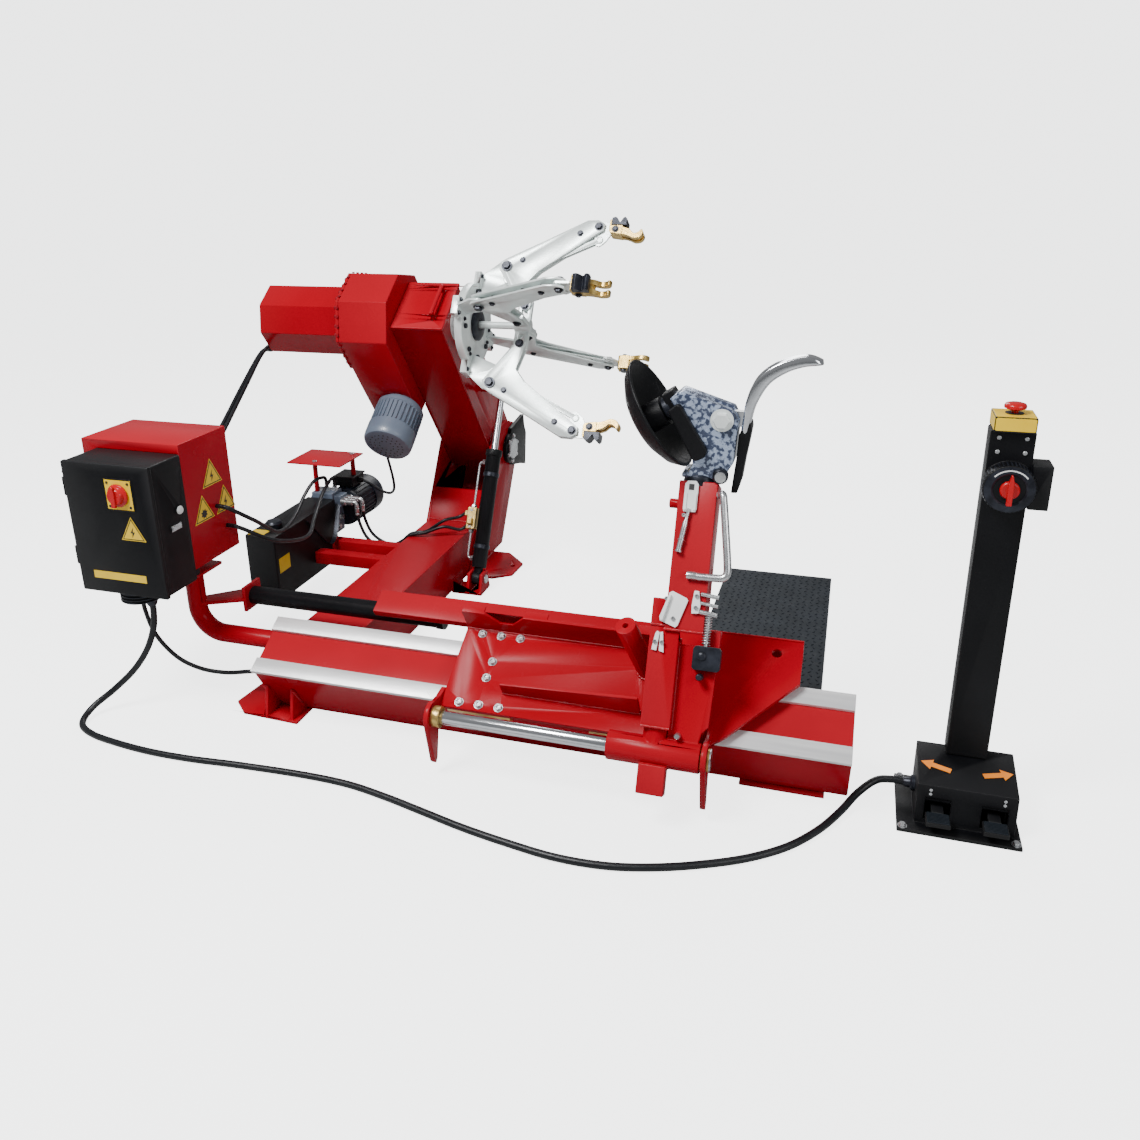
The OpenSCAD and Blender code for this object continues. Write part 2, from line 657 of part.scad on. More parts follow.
module spindle() {
    color(chrome) difference() {
        union() {
            rod_x(-1070, disc_x, chuck_y, chuck_z, 40);
            translate([-945, chuck_y, chuck_z]) rotate([0, 90, 0]) linear_extrude(40)
                polygon(gear_points(152, 45, 6));
            rod_x(-1340, -1060, chuck_y, chuck_z, 75);
        }
        rod_x(-1325, -1080, chuck_y, chuck_z, 60);
        rod_x(-1081, disc_x + 1, chuck_y, chuck_z, 14 + run);
    }
}

// ---- Chuck ----
module chuck_disc() {
    color(zinc) difference() {
        union() {
            rod_x(disc_x, disc_x + 30, chuck_y, chuck_z, disc_r);
            for (i = [0:3]) on_jaw(i) {
                plate_y(-4.5, 9, [[disc_x + 28, 120], [-380, 160], [-372, 180], [-375, 250], [-395, 262],
                    [-430, 256], [disc_x + 20, 200], [disc_x + 20, 120]]);
                rod_y(-7, 7, link_piv[0], link_piv[1], 8);
                rod_y(-22, 22, jaw_piv[0], jaw_piv[1], 10);
                box(disc_x + 4, disc_x + 30, -35, 35, 110, 205);
            }
        }
        rod_x(disc_x - 1, disc_x + 31, chuck_y, chuck_z, 14 + run);
    }
}
module crosshead() {
    color(zinc) difference() {
        union() {
            rod_x(-1120, -268, chuck_y, chuck_z, 14);
            rod_x(-1130, -1100, chuck_y, chuck_z, 59.9);
            rod_x(-330, -270, chuck_y, chuck_z, 26);
            for (i = [0:3]) on_jaw(i) plate_y(-8, 16, [[-328, 10], [-272, 10], [-272, 98], [-328, 98]]);
        }
        for (i = [0:3]) on_jaw(i) {
            box(-312, -288, -20, 20, 36, 88);
        }
    }
}
module clamp_arm(i) {
    outline = [[-398, 270], [-425, 253], [-428, 226], [-318, 71], [-300, 57], [-281, 66], [-275, 84],
        [-300, 176], [-262, 220], [-84, 348], [-50, 373], [-30, 386], [-28, 412], [-54, 427], [-96, 426],
        [-250, 345]];
    color(zinc) on_jaw(i) {
        difference() {
            jaw_pair(9, 17) polygon(outline);
            rod_y(-30, 30, jaw_piv[0], jaw_piv[1], 10 + run);
        }
        rod_y(-20, 20, inner_pin[0], inner_pin[1], 9);
        rod_y(-20, 20, jaw_tip[0], jaw_tip[1], 8);
    }
}
module clamp_link(i) {
    d = link_tip - link_piv;
    color(zinc) on_jaw(i) difference() {
        jaw_pair(5, 8.4) union() {
            translate(link_piv) circle(r = 16, $fn = 32);
            translate(link_tip) circle(r = 14, $fn = 32);
            translate(link_piv) rotate(atan2(d[1], d[0])) translate([0, -9]) square([norm(d), 18]);
        }
        rod_y(-20, 20, link_piv[0], link_piv[1], 8 + run);
        rod_y(-20, 20, link_tip[0], link_tip[1], 7.5);
    }
}
module clamp_jaw(i) {
    color(brass) on_jaw(i) difference() {
        union() {
            plate_y(-4.5, 9, [[-68, 385], [-62, 332], [-40, 328], [-20, 345], [-4, 375], [-4, 420],
                [-68, 420]]);
            plate_y(-28, 56, [[-8, 372], [44, 364], [44, 400], [58, 404], [58, 430], [50, 436], [42, 432],
                [32, 412], [20, 432], [12, 436], [-2, 434], [-8, 426]]);
            jaw_pair(8, 26)
                polygon([[40, 365], [70, 359], [90, 350], [110, 352], [122, 364], [124, 378], [116, 388],
                    [102, 374], [88, 371], [70, 388], [40, 398]]);
            rod_y(-4.8, 4.8, link_tip[0], link_tip[1], 7);
        }
        rod_y(-30, 30, jaw_tip[0], jaw_tip[1], 8 + run);
    }
}
module clamp_arm_1() { clamp_arm(0); }
module clamp_arm_2() { clamp_arm(1); }
module clamp_arm_3() { clamp_arm(2); }
module clamp_arm_4() { clamp_arm(3); }
module clamp_link_1() { clamp_link(0); }
module clamp_link_2() { clamp_link(1); }
module clamp_link_3() { clamp_link(2); }
module clamp_link_4() { clamp_link(3); }
module clamp_jaw_1() { clamp_jaw(0); }
module clamp_jaw_2() { clamp_jaw(1); }
module clamp_jaw_3() { clamp_jaw(2); }
module clamp_jaw_4() { clamp_jaw(3); }

bed_beam();
guide_rails();
cross_beam();
rear_column();
pivot_shaft();
pivot_bearings();
carriage_cylinder();
cabinet_support();
cabinet_shell();
cabinet_enclosure();
electric_panel();
pump_tank();
pump_unit();
pump_guard();
floor_mat();
control_post();
control_cable();
hoses();
cabinet_door();
main_switch();
estop_button();
selector_knob();
pedal_left();
pedal_right();
carriage_frame();
slide_guides();
carriage_bolts();
arm_shaft();
shaft_rings();
cylinder_rod();
tool_arm();
arm_levers();
head_casting();
bead_hook();
bead_disc();
lift_barrel();
lift_rod();
lift_arm();
gear_housing();
spindle_cover();
housing_bolts();
drive_motor();
spindle_bearings();
worm_shaft();
pinion_shaft();
spindle();
chuck_disc();
crosshead();
clamp_arm_1();
clamp_arm_2();
clamp_arm_3();
clamp_arm_4();
clamp_link_1();
clamp_link_2();
clamp_link_3();
clamp_link_4();
clamp_jaw_1();
clamp_jaw_2();
clamp_jaw_3();
clamp_jaw_4();
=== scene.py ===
import json
import math
import random

import bmesh
import bpy
from mathutils import Matrix, Vector

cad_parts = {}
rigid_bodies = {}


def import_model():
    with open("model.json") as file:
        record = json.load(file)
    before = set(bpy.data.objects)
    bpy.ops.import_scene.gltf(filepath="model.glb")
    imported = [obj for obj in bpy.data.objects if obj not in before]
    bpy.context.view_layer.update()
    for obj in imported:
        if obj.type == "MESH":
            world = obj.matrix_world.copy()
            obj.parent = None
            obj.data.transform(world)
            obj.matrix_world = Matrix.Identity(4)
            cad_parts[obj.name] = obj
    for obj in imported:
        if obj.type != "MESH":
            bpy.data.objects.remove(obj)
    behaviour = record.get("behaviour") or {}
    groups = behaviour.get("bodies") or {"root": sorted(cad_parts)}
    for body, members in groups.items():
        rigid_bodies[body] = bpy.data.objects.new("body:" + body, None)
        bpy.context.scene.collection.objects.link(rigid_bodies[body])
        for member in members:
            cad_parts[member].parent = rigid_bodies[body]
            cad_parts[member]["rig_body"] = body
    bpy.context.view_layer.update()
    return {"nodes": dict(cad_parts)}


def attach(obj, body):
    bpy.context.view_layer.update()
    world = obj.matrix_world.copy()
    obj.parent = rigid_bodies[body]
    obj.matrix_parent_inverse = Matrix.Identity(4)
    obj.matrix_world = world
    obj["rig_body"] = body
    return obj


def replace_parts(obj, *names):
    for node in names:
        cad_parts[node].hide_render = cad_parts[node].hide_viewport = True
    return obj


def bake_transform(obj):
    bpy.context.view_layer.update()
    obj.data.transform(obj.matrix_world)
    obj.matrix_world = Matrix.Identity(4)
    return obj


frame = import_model()
random.seed(7)
scene = bpy.context.scene

# Places that the CAD model fixes, in metres
BED_CORNER, BED_TILT = Vector((0, -.89, .18)), math.radians(30)
PIVOT, ARM_TILT, ARM_LEN = Vector((-.68, .84, .43)), math.radians(37.3), .8
SHAFT, TOOL_LEAN = Vector((.546, -.99, .19)), math.radians(26.5)
HEAD_FOOT = Vector((.546, -.655, .85))
DISC_AT, DISC_TURN = HEAD_FOOT + Vector((-.121, 0, .164)), math.radians(58.8)
CHUCK = PIVOT + ARM_LEN * Vector((0, -math.sin(ARM_TILT), math.cos(ARM_TILT)))
LIFT_PIN, LIFT_EYE = Vector((-.48, .222, .055)), Vector((-.48, .588, .76))
LIFT_LEAN = math.atan2(LIFT_EYE.y - LIFT_PIN.y, LIFT_EYE.z - LIFT_PIN.z)
FIRST_JAW = math.radians(30)
ARM_PIVOT, LINK_PIVOT, ARM_TIP = (-.395, .235), (-.39, .185), (-.05, .4)
INNER_PIN, LINK_TIP = (-.3, .075), (-.045, .35)
POST_X = 1.28
BEARING_HALF, CHUCK_FACE, PLATE_TOP = .13, -.49, .0455
MOTOR_FOOT, MOTOR_TERMINAL_Y = Vector((-.17, -.19, .5)), -.29

TAU = 2 * math.pi
RIGHT, LEFT, FRONT, BACK = (1, 0, 0), (-1, 0, 0), (0, -1, 0), (0, 1, 0)
UP, DOWN = (0, 0, 1), (0, 0, -1)


def at(x, y, z):
    return Matrix.Translation((x, y, z))


def turned(place, angle, axis="X"):
    return Matrix.Translation(place) @ Matrix.Rotation(angle, 4, axis)


IN_BED = turned(BED_CORNER, BED_TILT)
IN_ARM = turned(PIVOT, ARM_TILT)
IN_TOOL = turned(SHAFT, -TOOL_LEAN)
IN_HEAD = Matrix.Translation(HEAD_FOOT)
IN_DISC = turned(DISC_AT, DISC_TURN, "Y")
IN_LIFT = turned(LIFT_PIN, -LIFT_LEAN)
IN_JAW = [turned(Vector((0, CHUCK.y, CHUCK.z)), -FIRST_JAW - math.pi / 2 * i) for i in range(4)]


# ---- Camera, floor and light ----
CAMERA_PLACE, CAMERA_LENS, CAMERA_SHIFT = (.9, -3.14, 1.65), 30.47, (.0237, -.0614)
CAMERA_TURN = (-17.99, 19.21, 1.12)     # Yaw, pitch down and roll, in degrees
LIGHT_LEVEL, BACKDROP_LEVEL = .3, 3.6
FLOOR_GLOW = BACKDROP_LEVEL - .55 * LIGHT_LEVEL
PALE, FLOOR_HALF, FLOOR_DROP = (.94, .95, .95, 1), 60, .0005


def make_camera():
    yaw, pitch, roll = (math.radians(a) for a in CAMERA_TURN)
    data = bpy.data.cameras.new("camera")
    data.sensor_width, data.lens = 36, CAMERA_LENS
    data.shift_x, data.shift_y = CAMERA_SHIFT
    cam = bpy.data.objects.new("camera", data)
    cam.matrix_world = (turned(CAMERA_PLACE, -yaw, "Z") @ Matrix.Rotation(math.pi / 2 - pitch, 4, "X")
                        @ Matrix.Rotation(-roll, 4, "Z"))
    scene.collection.objects.link(cam)
    scene.camera = cam


def area_light(name, place, target, size, power):
    data = bpy.data.lights.new(name, "AREA")
    data.size, data.energy = size, power
    light = bpy.data.objects.new(name, data)
    light.location = place
    light.rotation_euler = (Vector(target) - Vector(place)).to_track_quat("-Z", "Y").to_euler()
    scene.collection.objects.link(light)


def make_stage():
    world = bpy.data.worlds.new("studio")
    world.use_nodes = True
    nodes, link = world.node_tree.nodes, world.node_tree.links.new
    lighting = nodes["Background"]
    lighting.inputs[0].default_value = (.93, .94, .95, 1)
    lighting.inputs[1].default_value = LIGHT_LEVEL
    seen = nodes.new("ShaderNodeBackground")
    seen.inputs[0].default_value = PALE
    seen.inputs[1].default_value = BACKDROP_LEVEL
    which, path = nodes.new("ShaderNodeMixShader"), nodes.new("ShaderNodeLightPath")
    link(path.outputs["Is Camera Ray"], which.inputs[0])
    link(lighting.outputs[0], which.inputs[1])
    link(seen.outputs[0], which.inputs[2])
    link(which.outputs[0], nodes["World Output"].inputs[0])
    scene.world = world
    bm = bmesh.new()
    bmesh.ops.create_grid(bm, x_segments=2, y_segments=2, size=FLOOR_HALF)
    floor = mesh_object("studio_floor", bm, "studio_grey", smooth=False)
    floor.location = (0, 0, -FLOOR_DROP)
    # The floor glows to the camera only, so it runs into the backdrop with no horizon
    tree = MATERIALS["studio_grey"].node_tree
    nodes, link = tree.nodes, tree.links.new
    both, glow, path = (nodes.new("ShaderNode" + kind) for kind in ("AddShader", "Emission", "LightPath"))
    amount = nodes.new("ShaderNodeMath")
    amount.operation = "MULTIPLY"
    amount.inputs[1].default_value = FLOOR_GLOW
    glow.inputs[0].default_value = PALE
    link(path.outputs["Is Camera Ray"], amount.inputs[0])
    link(amount.outputs[0], glow.inputs[1])
    link(nodes["Principled BSDF"].outputs[0], both.inputs[0])
    link(glow.outputs[0], both.inputs[1])
    link(both.outputs[0], nodes["Material Output"].inputs[0])
    area_light("key_light", (-1.5, -2.8, 4.6), (0, -.2, .4), 1.6, 380)
    area_light("fill_light", (3.6, -2.6, 2.6), (.2, 0, .4), 2, 70)
    area_light("back_light", (-.8, 3.8, 3.6), (0, 0, .6), 2.6, 150)


# ---- Materials ----
MATERIALS = {}
DUST_COLOR, RELIEF_DEPTH = (.45, .43, .4, 1), .002


def material(name, color, other=None, grain=6, rough=.4, spread=.08, metal=0, coat=0, bump=.05, fine=400,
             stretch=(1, 1, 1), wear=0, dust=0, sharp=False, gloss=.5):
    """A procedural surface: two colours in a noise, uneven roughness, bump, dust and paler worn edges."""
    mat = bpy.data.materials.new(name)
    mat.use_nodes = True
    tree = mat.node_tree
    nodes, link = tree.nodes, tree.links.new
    shader = nodes["Principled BSDF"]
    shader.inputs["Metallic"].default_value = metal
    shader.inputs["Coat Weight"].default_value = coat
    shader.inputs["Coat Roughness"].default_value = .12
    shader.inputs["Specular IOR Level"].default_value = gloss
    where = nodes.new("ShaderNodeTexCoord")
    mapping = nodes.new("ShaderNodeMapping")
    mapping.inputs["Scale"].default_value = stretch
    link(where.outputs["Object"], mapping.inputs[0])

    def noise(scale, detail):
        n = nodes.new("ShaderNodeTexNoise")
        n.inputs["Scale"].default_value = scale
        n.inputs["Detail"].default_value = detail
        link(mapping.outputs[0], n.inputs["Vector"])
        return n.outputs["Fac"]

    def ramp(source, low, high, a=(0, 0, 0, 1), b=(1, 1, 1, 1)):
        r = nodes.new("ShaderNodeValToRGB")
        r.color_ramp.elements[0].position, r.color_ramp.elements[1].position = low, high
        r.color_ramp.elements[0].color, r.color_ramp.elements[1].color = a, b
        link(source, r.inputs[0])
        return r.outputs[0]

    def mix(factor, a, b):
        m = nodes.new("ShaderNodeMix")
        m.data_type = "RGBA"
        link(factor, m.inputs[0])
        for source, socket in ((a, m.inputs[6]), (b, m.inputs[7])):
            if hasattr(source, "is_output"):
                link(source, socket)
            else:
                socket.default_value = source
        return m.outputs[2]

    first, second = (*color, 1), (*(other or [c * .8 for c in color]), 1)
    low, high = (.46, .54) if sharp else (.3, .7)
    out = ramp(noise(grain, 4), low, high, first, second)
    if dust:
        out = mix(ramp(noise(grain * 3.1, 6), .55, .8, b=(dust, dust, dust, 1)), out, DUST_COLOR)
    if wear:
        edge = nodes.new("ShaderNodeNewGeometry").outputs["Pointiness"]
        bare = (*[min(1, c * 1.5 + .12) for c in color], 1)
        out = mix(ramp(edge, .52, .6, b=(wear, wear, wear, 1)), out, bare)
    link(out, shader.inputs["Base Color"])
    remap = nodes.new("ShaderNodeMapRange")
    remap.inputs["To Min"].default_value = rough - spread
    remap.inputs["To Max"].default_value = rough + spread
    link(noise(grain * 2.3, 5), remap.inputs["Value"])
    link(remap.outputs[0], shader.inputs["Roughness"])
    relief = nodes.new("ShaderNodeBump")
    relief.inputs["Strength"].default_value = bump
    relief.inputs["Distance"].default_value = RELIEF_DEPTH
    link(noise(fine, 3), relief.inputs["Height"])
    link(relief.outputs[0], shader.inputs["Normal"])
    MATERIALS[name] = mat


def make_materials():
    material("studio_grey", (.5, .51, .51), (.48, .49, .49), rough=.7, bump=.01, grain=1)
    material("red_paint", (.35, .0001, .009), (.3, .0001, .007), rough=.25, bump=.06, fine=260, grain=3,
             wear=.12, gloss=.07)
    material("dark_red_paint", (.2, .001, .008), rough=.38, bump=.2, fine=300, gloss=.3)
    material("black_paint", (.002, .0021, .0028), (.0045, .0046, .006), bump=.3, fine=900, wear=.1, gloss=.16)
    material("ground_steel", (.84, .84, .84), (.68, .68, .69), rough=.34, metal=.45, bump=.2, fine=90,
             stretch=(.6, 14, 14), grain=4)
    material("chrome", (.74, .75, .78), (.6, .62, .65), rough=.15, spread=.05, metal=1, fine=120,
             stretch=(1, 9, 9))
    material("zinc_plate", (.84, .9, .88), (.7, .77, .76), rough=.34, metal=.45, bump=.12, fine=150, grain=14,
             wear=.3)
    material("brass", (.62, .43, .13), (.3, .19, .05), rough=.32, metal=.85, bump=.35, fine=220, grain=30,
             wear=.5)
    material("black_steel", (.006, .007, .012), (.028, .032, .045), rough=.35, metal=.5, bump=.15, fine=300,
             grain=40)
    material("hammertone", (.36, .43, .58), (.05, .065, .115), rough=.26, metal=.35, bump=.5, fine=150,
             grain=80, sharp=True, coat=.3)
    material("motor_grey", (.13, .16, .21), (.09, .115, .16), coat=.2, bump=.25, fine=300, grain=8)
    material("pump_grey", (.02, .026, .04), (.008, .01, .016), rough=.42, bump=.4, fine=260, grain=16,
             gloss=.3)
    material("rubber", (.006, .009, .013), (.012, .016, .022), rough=.6, bump=.4, fine=500, grain=10,
             dust=.03, gloss=.2)
    material("hose_rubber", (.004, .005, .007), (.009, .01, .012), rough=.36, bump=.25, fine=600, grain=20,
             gloss=.35)
    material("red_plastic", (.5, .002, .006), (.4, .001, .005), rough=.28, gloss=.4, bump=.06, fine=300)
    material("yellow_plastic", (.86, .58, .015), (.78, .5, .01), rough=.35, bump=.08)
    material("yellow_label", (.82, .55, .02), (.74, .48, .02), rough=.45, bump=.03, grain=30)
    material("orange_label", (.85, .25, .015), (.75, .2, .01), rough=.45, bump=.03, grain=30)
    # Black for printed marks, small screws and trim, also used as painted shade in holes
    material("ink_and_painted_shade", (.012, .012, .012), rough=.5, bump=.02, grain=30)
    material("white_plastic", (.82, .83, .83), (.74, .75, .75), grain=20)
    material("fitting_steel", (.62, .63, .64), (.45, .46, .48), rough=.28, metal=.9, bump=.1, grain=60)
    material("weld", (.4, .0005, .01), (.26, .0005, .007), rough=.32, gloss=.35, bump=.6, fine=160, grain=60)


# ---- Mesh tools ----
def mesh_object(name, bm, mat, smooth=True, bevel=0, angle=35, segments=2):
    mesh = bpy.data.meshes.new(name)
    bmesh.ops.recalc_face_normals(bm, faces=bm.faces)
    bm.to_mesh(mesh)
    bm.free()
    obj = bpy.data.objects.new(name, mesh)
    scene.collection.objects.link(obj)
    mesh.materials.append(MATERIALS[mat])
    if smooth:
        mesh.shade_smooth()
        if not bevel:
            mesh.set_sharp_from_angle(angle=math.radians(angle))
    if bevel:
        cut = obj.modifiers.new("edges", "BEVEL")
        cut.width, cut.segments, cut.limit_method = bevel, segments, "ANGLE"
        cut.angle_limit = math.radians(angle)
        cut.use_clamp_overlap = True
        cut.harden_normals = True
    return obj


MERGE_GAP, FLAT_ANGLE, CAD_EDGE_ANGLE = 2e-6, math.radians(.6), 38


def refine(node, mat, bevel):
    """The CAD node's own shape with rounded edges, standing for the node."""
    bm = bmesh.new()
    bm.from_mesh(frame["nodes"][node].data)
    bmesh.ops.remove_doubles(bm, verts=bm.verts, dist=MERGE_GAP)
    bmesh.ops.dissolve_limit(bm, angle_limit=FLAT_ANGLE, verts=bm.verts, edges=bm.edges)
    obj = mesh_object("visual_" + node, bm, mat, bevel=bevel, angle=CAD_EDGE_ANGLE)
    obj.modifiers["edges"].use_clamp_overlap = False
    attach(obj, frame["nodes"][node]["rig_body"])
    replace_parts(obj, node)
    return obj


def add(name, bm, mat, body, **options):
    """A new piece that rides on a body."""
    obj = mesh_object(name, bm, mat, **options)
    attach(obj, body)
    return obj


def around(n, first=0):
    """The angles of n even steps round a circle."""
    return [TAU * k / n + first for k in range(n)]


def skin(bm, rings):
    """Joins rings of equally many vertices and closes both ends."""
    for a, b in zip(rings, rings[1:]):
        for k in range(len(a)):
            j = (k + 1) % len(a)
            bm.faces.new((a[k], a[j], b[j], b[k]))
    bm.faces.new(rings[0][::-1])
    bm.faces.new(rings[-1])


def moved(bm, start, matrix):
    """Moves the vertices made since start by a matrix."""
    bm.verts.ensure_lookup_table()
    bmesh.ops.transform(bm, matrix=matrix, verts=bm.verts[start:])


def lathe(bm, profile, matrix, steps=48):
    """Turns an outline of (radius, height) points about local Z."""
    start = len(bm.verts)
    rings = []
    for r, z in profile:
        if r < 1e-6:
            rings.append([bm.verts.new((0, 0, z))])
        else:
            rings.append([bm.verts.new((r * math.cos(a), r * math.sin(a), z)) for a in around(steps)])
    for a, b in zip(rings, rings[1:]):
        for i in range(steps):
            j = (i + 1) % steps
            # A ring on the axis is one vertex, so a quad there becomes a triangle or nothing
            quad = [a[i % len(a)], a[j % len(a)], b[j % len(b)], b[i % len(b)]]
            corners = list(dict.fromkeys(quad))
            if len(corners) > 2:
                bm.faces.new(corners)
    moved(bm, start, matrix)


def solid(bm, profile, matrix, steps=48):
    """A lathe whose two ends are flat, closed on the axis."""
    lathe(bm, [(0, profile[0][1]), *profile, (0, profile[-1][1])], matrix, steps)


def rod(bm, r, low, high, matrix, steps=24):
    """A plain round bar or disc along local Z."""
    solid(bm, [(r, low), (r, high)], matrix, steps)


def stud(bm, r, shoulder, tip_r, high, matrix, steps=24):
    """A round bar up local Z whose end narrows from the shoulder to a smaller radius."""
    solid(bm, [(r, 0), (r, shoulder), (tip_r, high)], matrix, steps)


def prism(bm, outline, depth, matrix=Matrix()):
    """Extrudes an outline of (x, y) points along local Z."""
    start = len(bm.verts)
    low = [bm.verts.new((x, y, 0)) for x, y in outline]
    high = [bm.verts.new((x, y, depth)) for x, y in outline]
    bm.faces.new(low[::-1])
    bm.faces.new(high)
    for i in range(len(low)):
        j = (i + 1) % len(low)
        bm.faces.new((low[i], low[j], high[j], high[i]))
    moved(bm, start, matrix)


def block(bm, low, high, matrix=Matrix()):
    """A box between its lowest and highest corners."""
    start = len(bm.verts)
    size = Vector(high) - Vector(low)
    bmesh.ops.create_cube(bm, size=1)
    moved(bm, start, matrix @ Matrix.Translation((Vector(low) + Vector(high)) / 2)
          @ Matrix.Diagonal((*size, 1)))


def smooth_path(points, steps):
    """Catmull-Rom curve through the points."""
    p = [Vector(q) for q in points]
    out = []
    for i in range(len(p) - 1):
        a, b, c, d = p[max(i - 1, 0)], p[i], p[i + 1], p[min(i + 2, len(p) - 1)]
        for k in range(steps):
            t = k / steps
            out.append(.5 * (2 * b + (c - a) * t + (2 * a - 5 * b + 4 * c - d) * t * t
                             + (3 * b - a - 3 * c + d) * t ** 3))
    return out + [p[-1]]


def sweep(bm, path, radius, sides=16, matrix=Matrix()):
    """A round tube along a path; radius is a number or a function of 0 to 1 along it."""
    start = len(bm.verts)
    side = Vector((.3, .2, 1))
    rings = []
    for i, p in enumerate(path):
        ahead = (path[min(i + 1, len(path) - 1)] - path[max(i - 1, 0)]).normalized()
        side = (side - side.dot(ahead) * ahead).normalized()
        other = ahead.cross(side)
        r = radius(i / (len(path) - 1)) if callable(radius) else radius
        rings.append([bm.verts.new(p + r * (math.cos(a) * side + math.sin(a) * other))
                      for a in around(sides)])
    skin(bm, rings)
    moved(bm, start, matrix)


def facing(place, direction):
    """A matrix at place whose local Z points along direction."""
    return Matrix.Translation(place) @ Vector(direction).to_track_quat("Z", "Y").to_matrix().to_4x4()


def upright(base, y):
    """Prism matrix: outline in X and Z of base, growing toward its -Y from y."""
    return base @ at(0, y, 0) @ Matrix.Rotation(math.pi / 2, 4, "X")


def add_blocks(name, boxes, mat, body, matrix=Matrix(), **options):
    """A new piece made of blocks."""
    bm = bmesh.new()
    for low, high in boxes:
        block(bm, low, high, matrix)
    add(name, bm, mat, body, **options)


WASHER_THICK, WELD_STEP = .0016, .0035


def hex_bolt(bm, matrix, r, h, washer=True):
    """A chamfered hexagon head on a washer, standing up local Z."""
    base = WASHER_THICK if washer else 0
    if washer:
        rod(bm, r * 1.35, 0, base, matrix)
    start = len(bm.verts)
    rings = []
    for scale, z in ((1, base), (1, base + h * .8), (.86, base + h)):
        rings.append([bm.verts.new((r * scale * math.cos(a), r * scale * math.sin(a), z)) for a in around(6)])
    skin(bm, rings)
    moved(bm, start, matrix)


def cap_screw(bm, matrix, r, h):
    """A socket head with a rounded rim and a hollow in its end."""
    lathe(bm, [(0, 0), (r, 0), (r, h * .82), (r * .86, h), (r * .52, h), (r * .5, h * .45), (0, h * .4)],
          matrix, 20)


def weld(name, runs, body, matrix=Matrix(), r=.0042):
    """Ripple-textured weld beads along straight runs."""
    bm = bmesh.new()
    for a, b in runs:
        a, b = matrix @ Vector(a), matrix @ Vector(b)
        n = max(6, int((b - a).length / WELD_STEP))
        path = [a.lerp(b, i / n) for i in range(n + 1)]
        sweep(bm, path, lambda t, n=n: r * (.86 + .14 * abs(math.sin(t * n * 1.57)) + .06 * random.random()),
              8)
    add(name, bm, "weld", body, angle=80)


def triangle_sign(prefix, matrix, size, body, mark):
    """A blank hazard triangle: thin films for its rim, black border, yellow field and generic mark."""
    def tri(s):
        return [(s * math.cos(a), s * math.sin(a)) for a in (math.pi / 2, math.pi * 7 / 6, math.pi * 11 / 6)]

    layers = ((tri(size), .0004, "yellow_label"), (tri(size * .9), .0007, "ink_and_painted_shade"),
              (tri(size * .78), .001, "yellow_label"), (mark(size), .0013, "ink_and_painted_shade"))
    for k, (outline, lift, mat) in enumerate(layers):
        bm = bmesh.new()
        prism(bm, outline, lift, matrix)
        add(f"{prefix}_{k}", bm, mat, body, smooth=False)


def spark(size):
    s = size * .36
    return [(x * s, y * s) for x, y in ((.25, 1), (-.45, -.05), (-.05, -.05), (-.2, -.9), (.45, .15),
                                        (.05, .15))]


def wheel_mark(size):
    radii = [size * .3 * (1 if k % 2 else .62) for k in range(16)]
    return [(r * math.cos(a), r * math.sin(a) - size * .08) for r, a in zip(radii, around(16))]


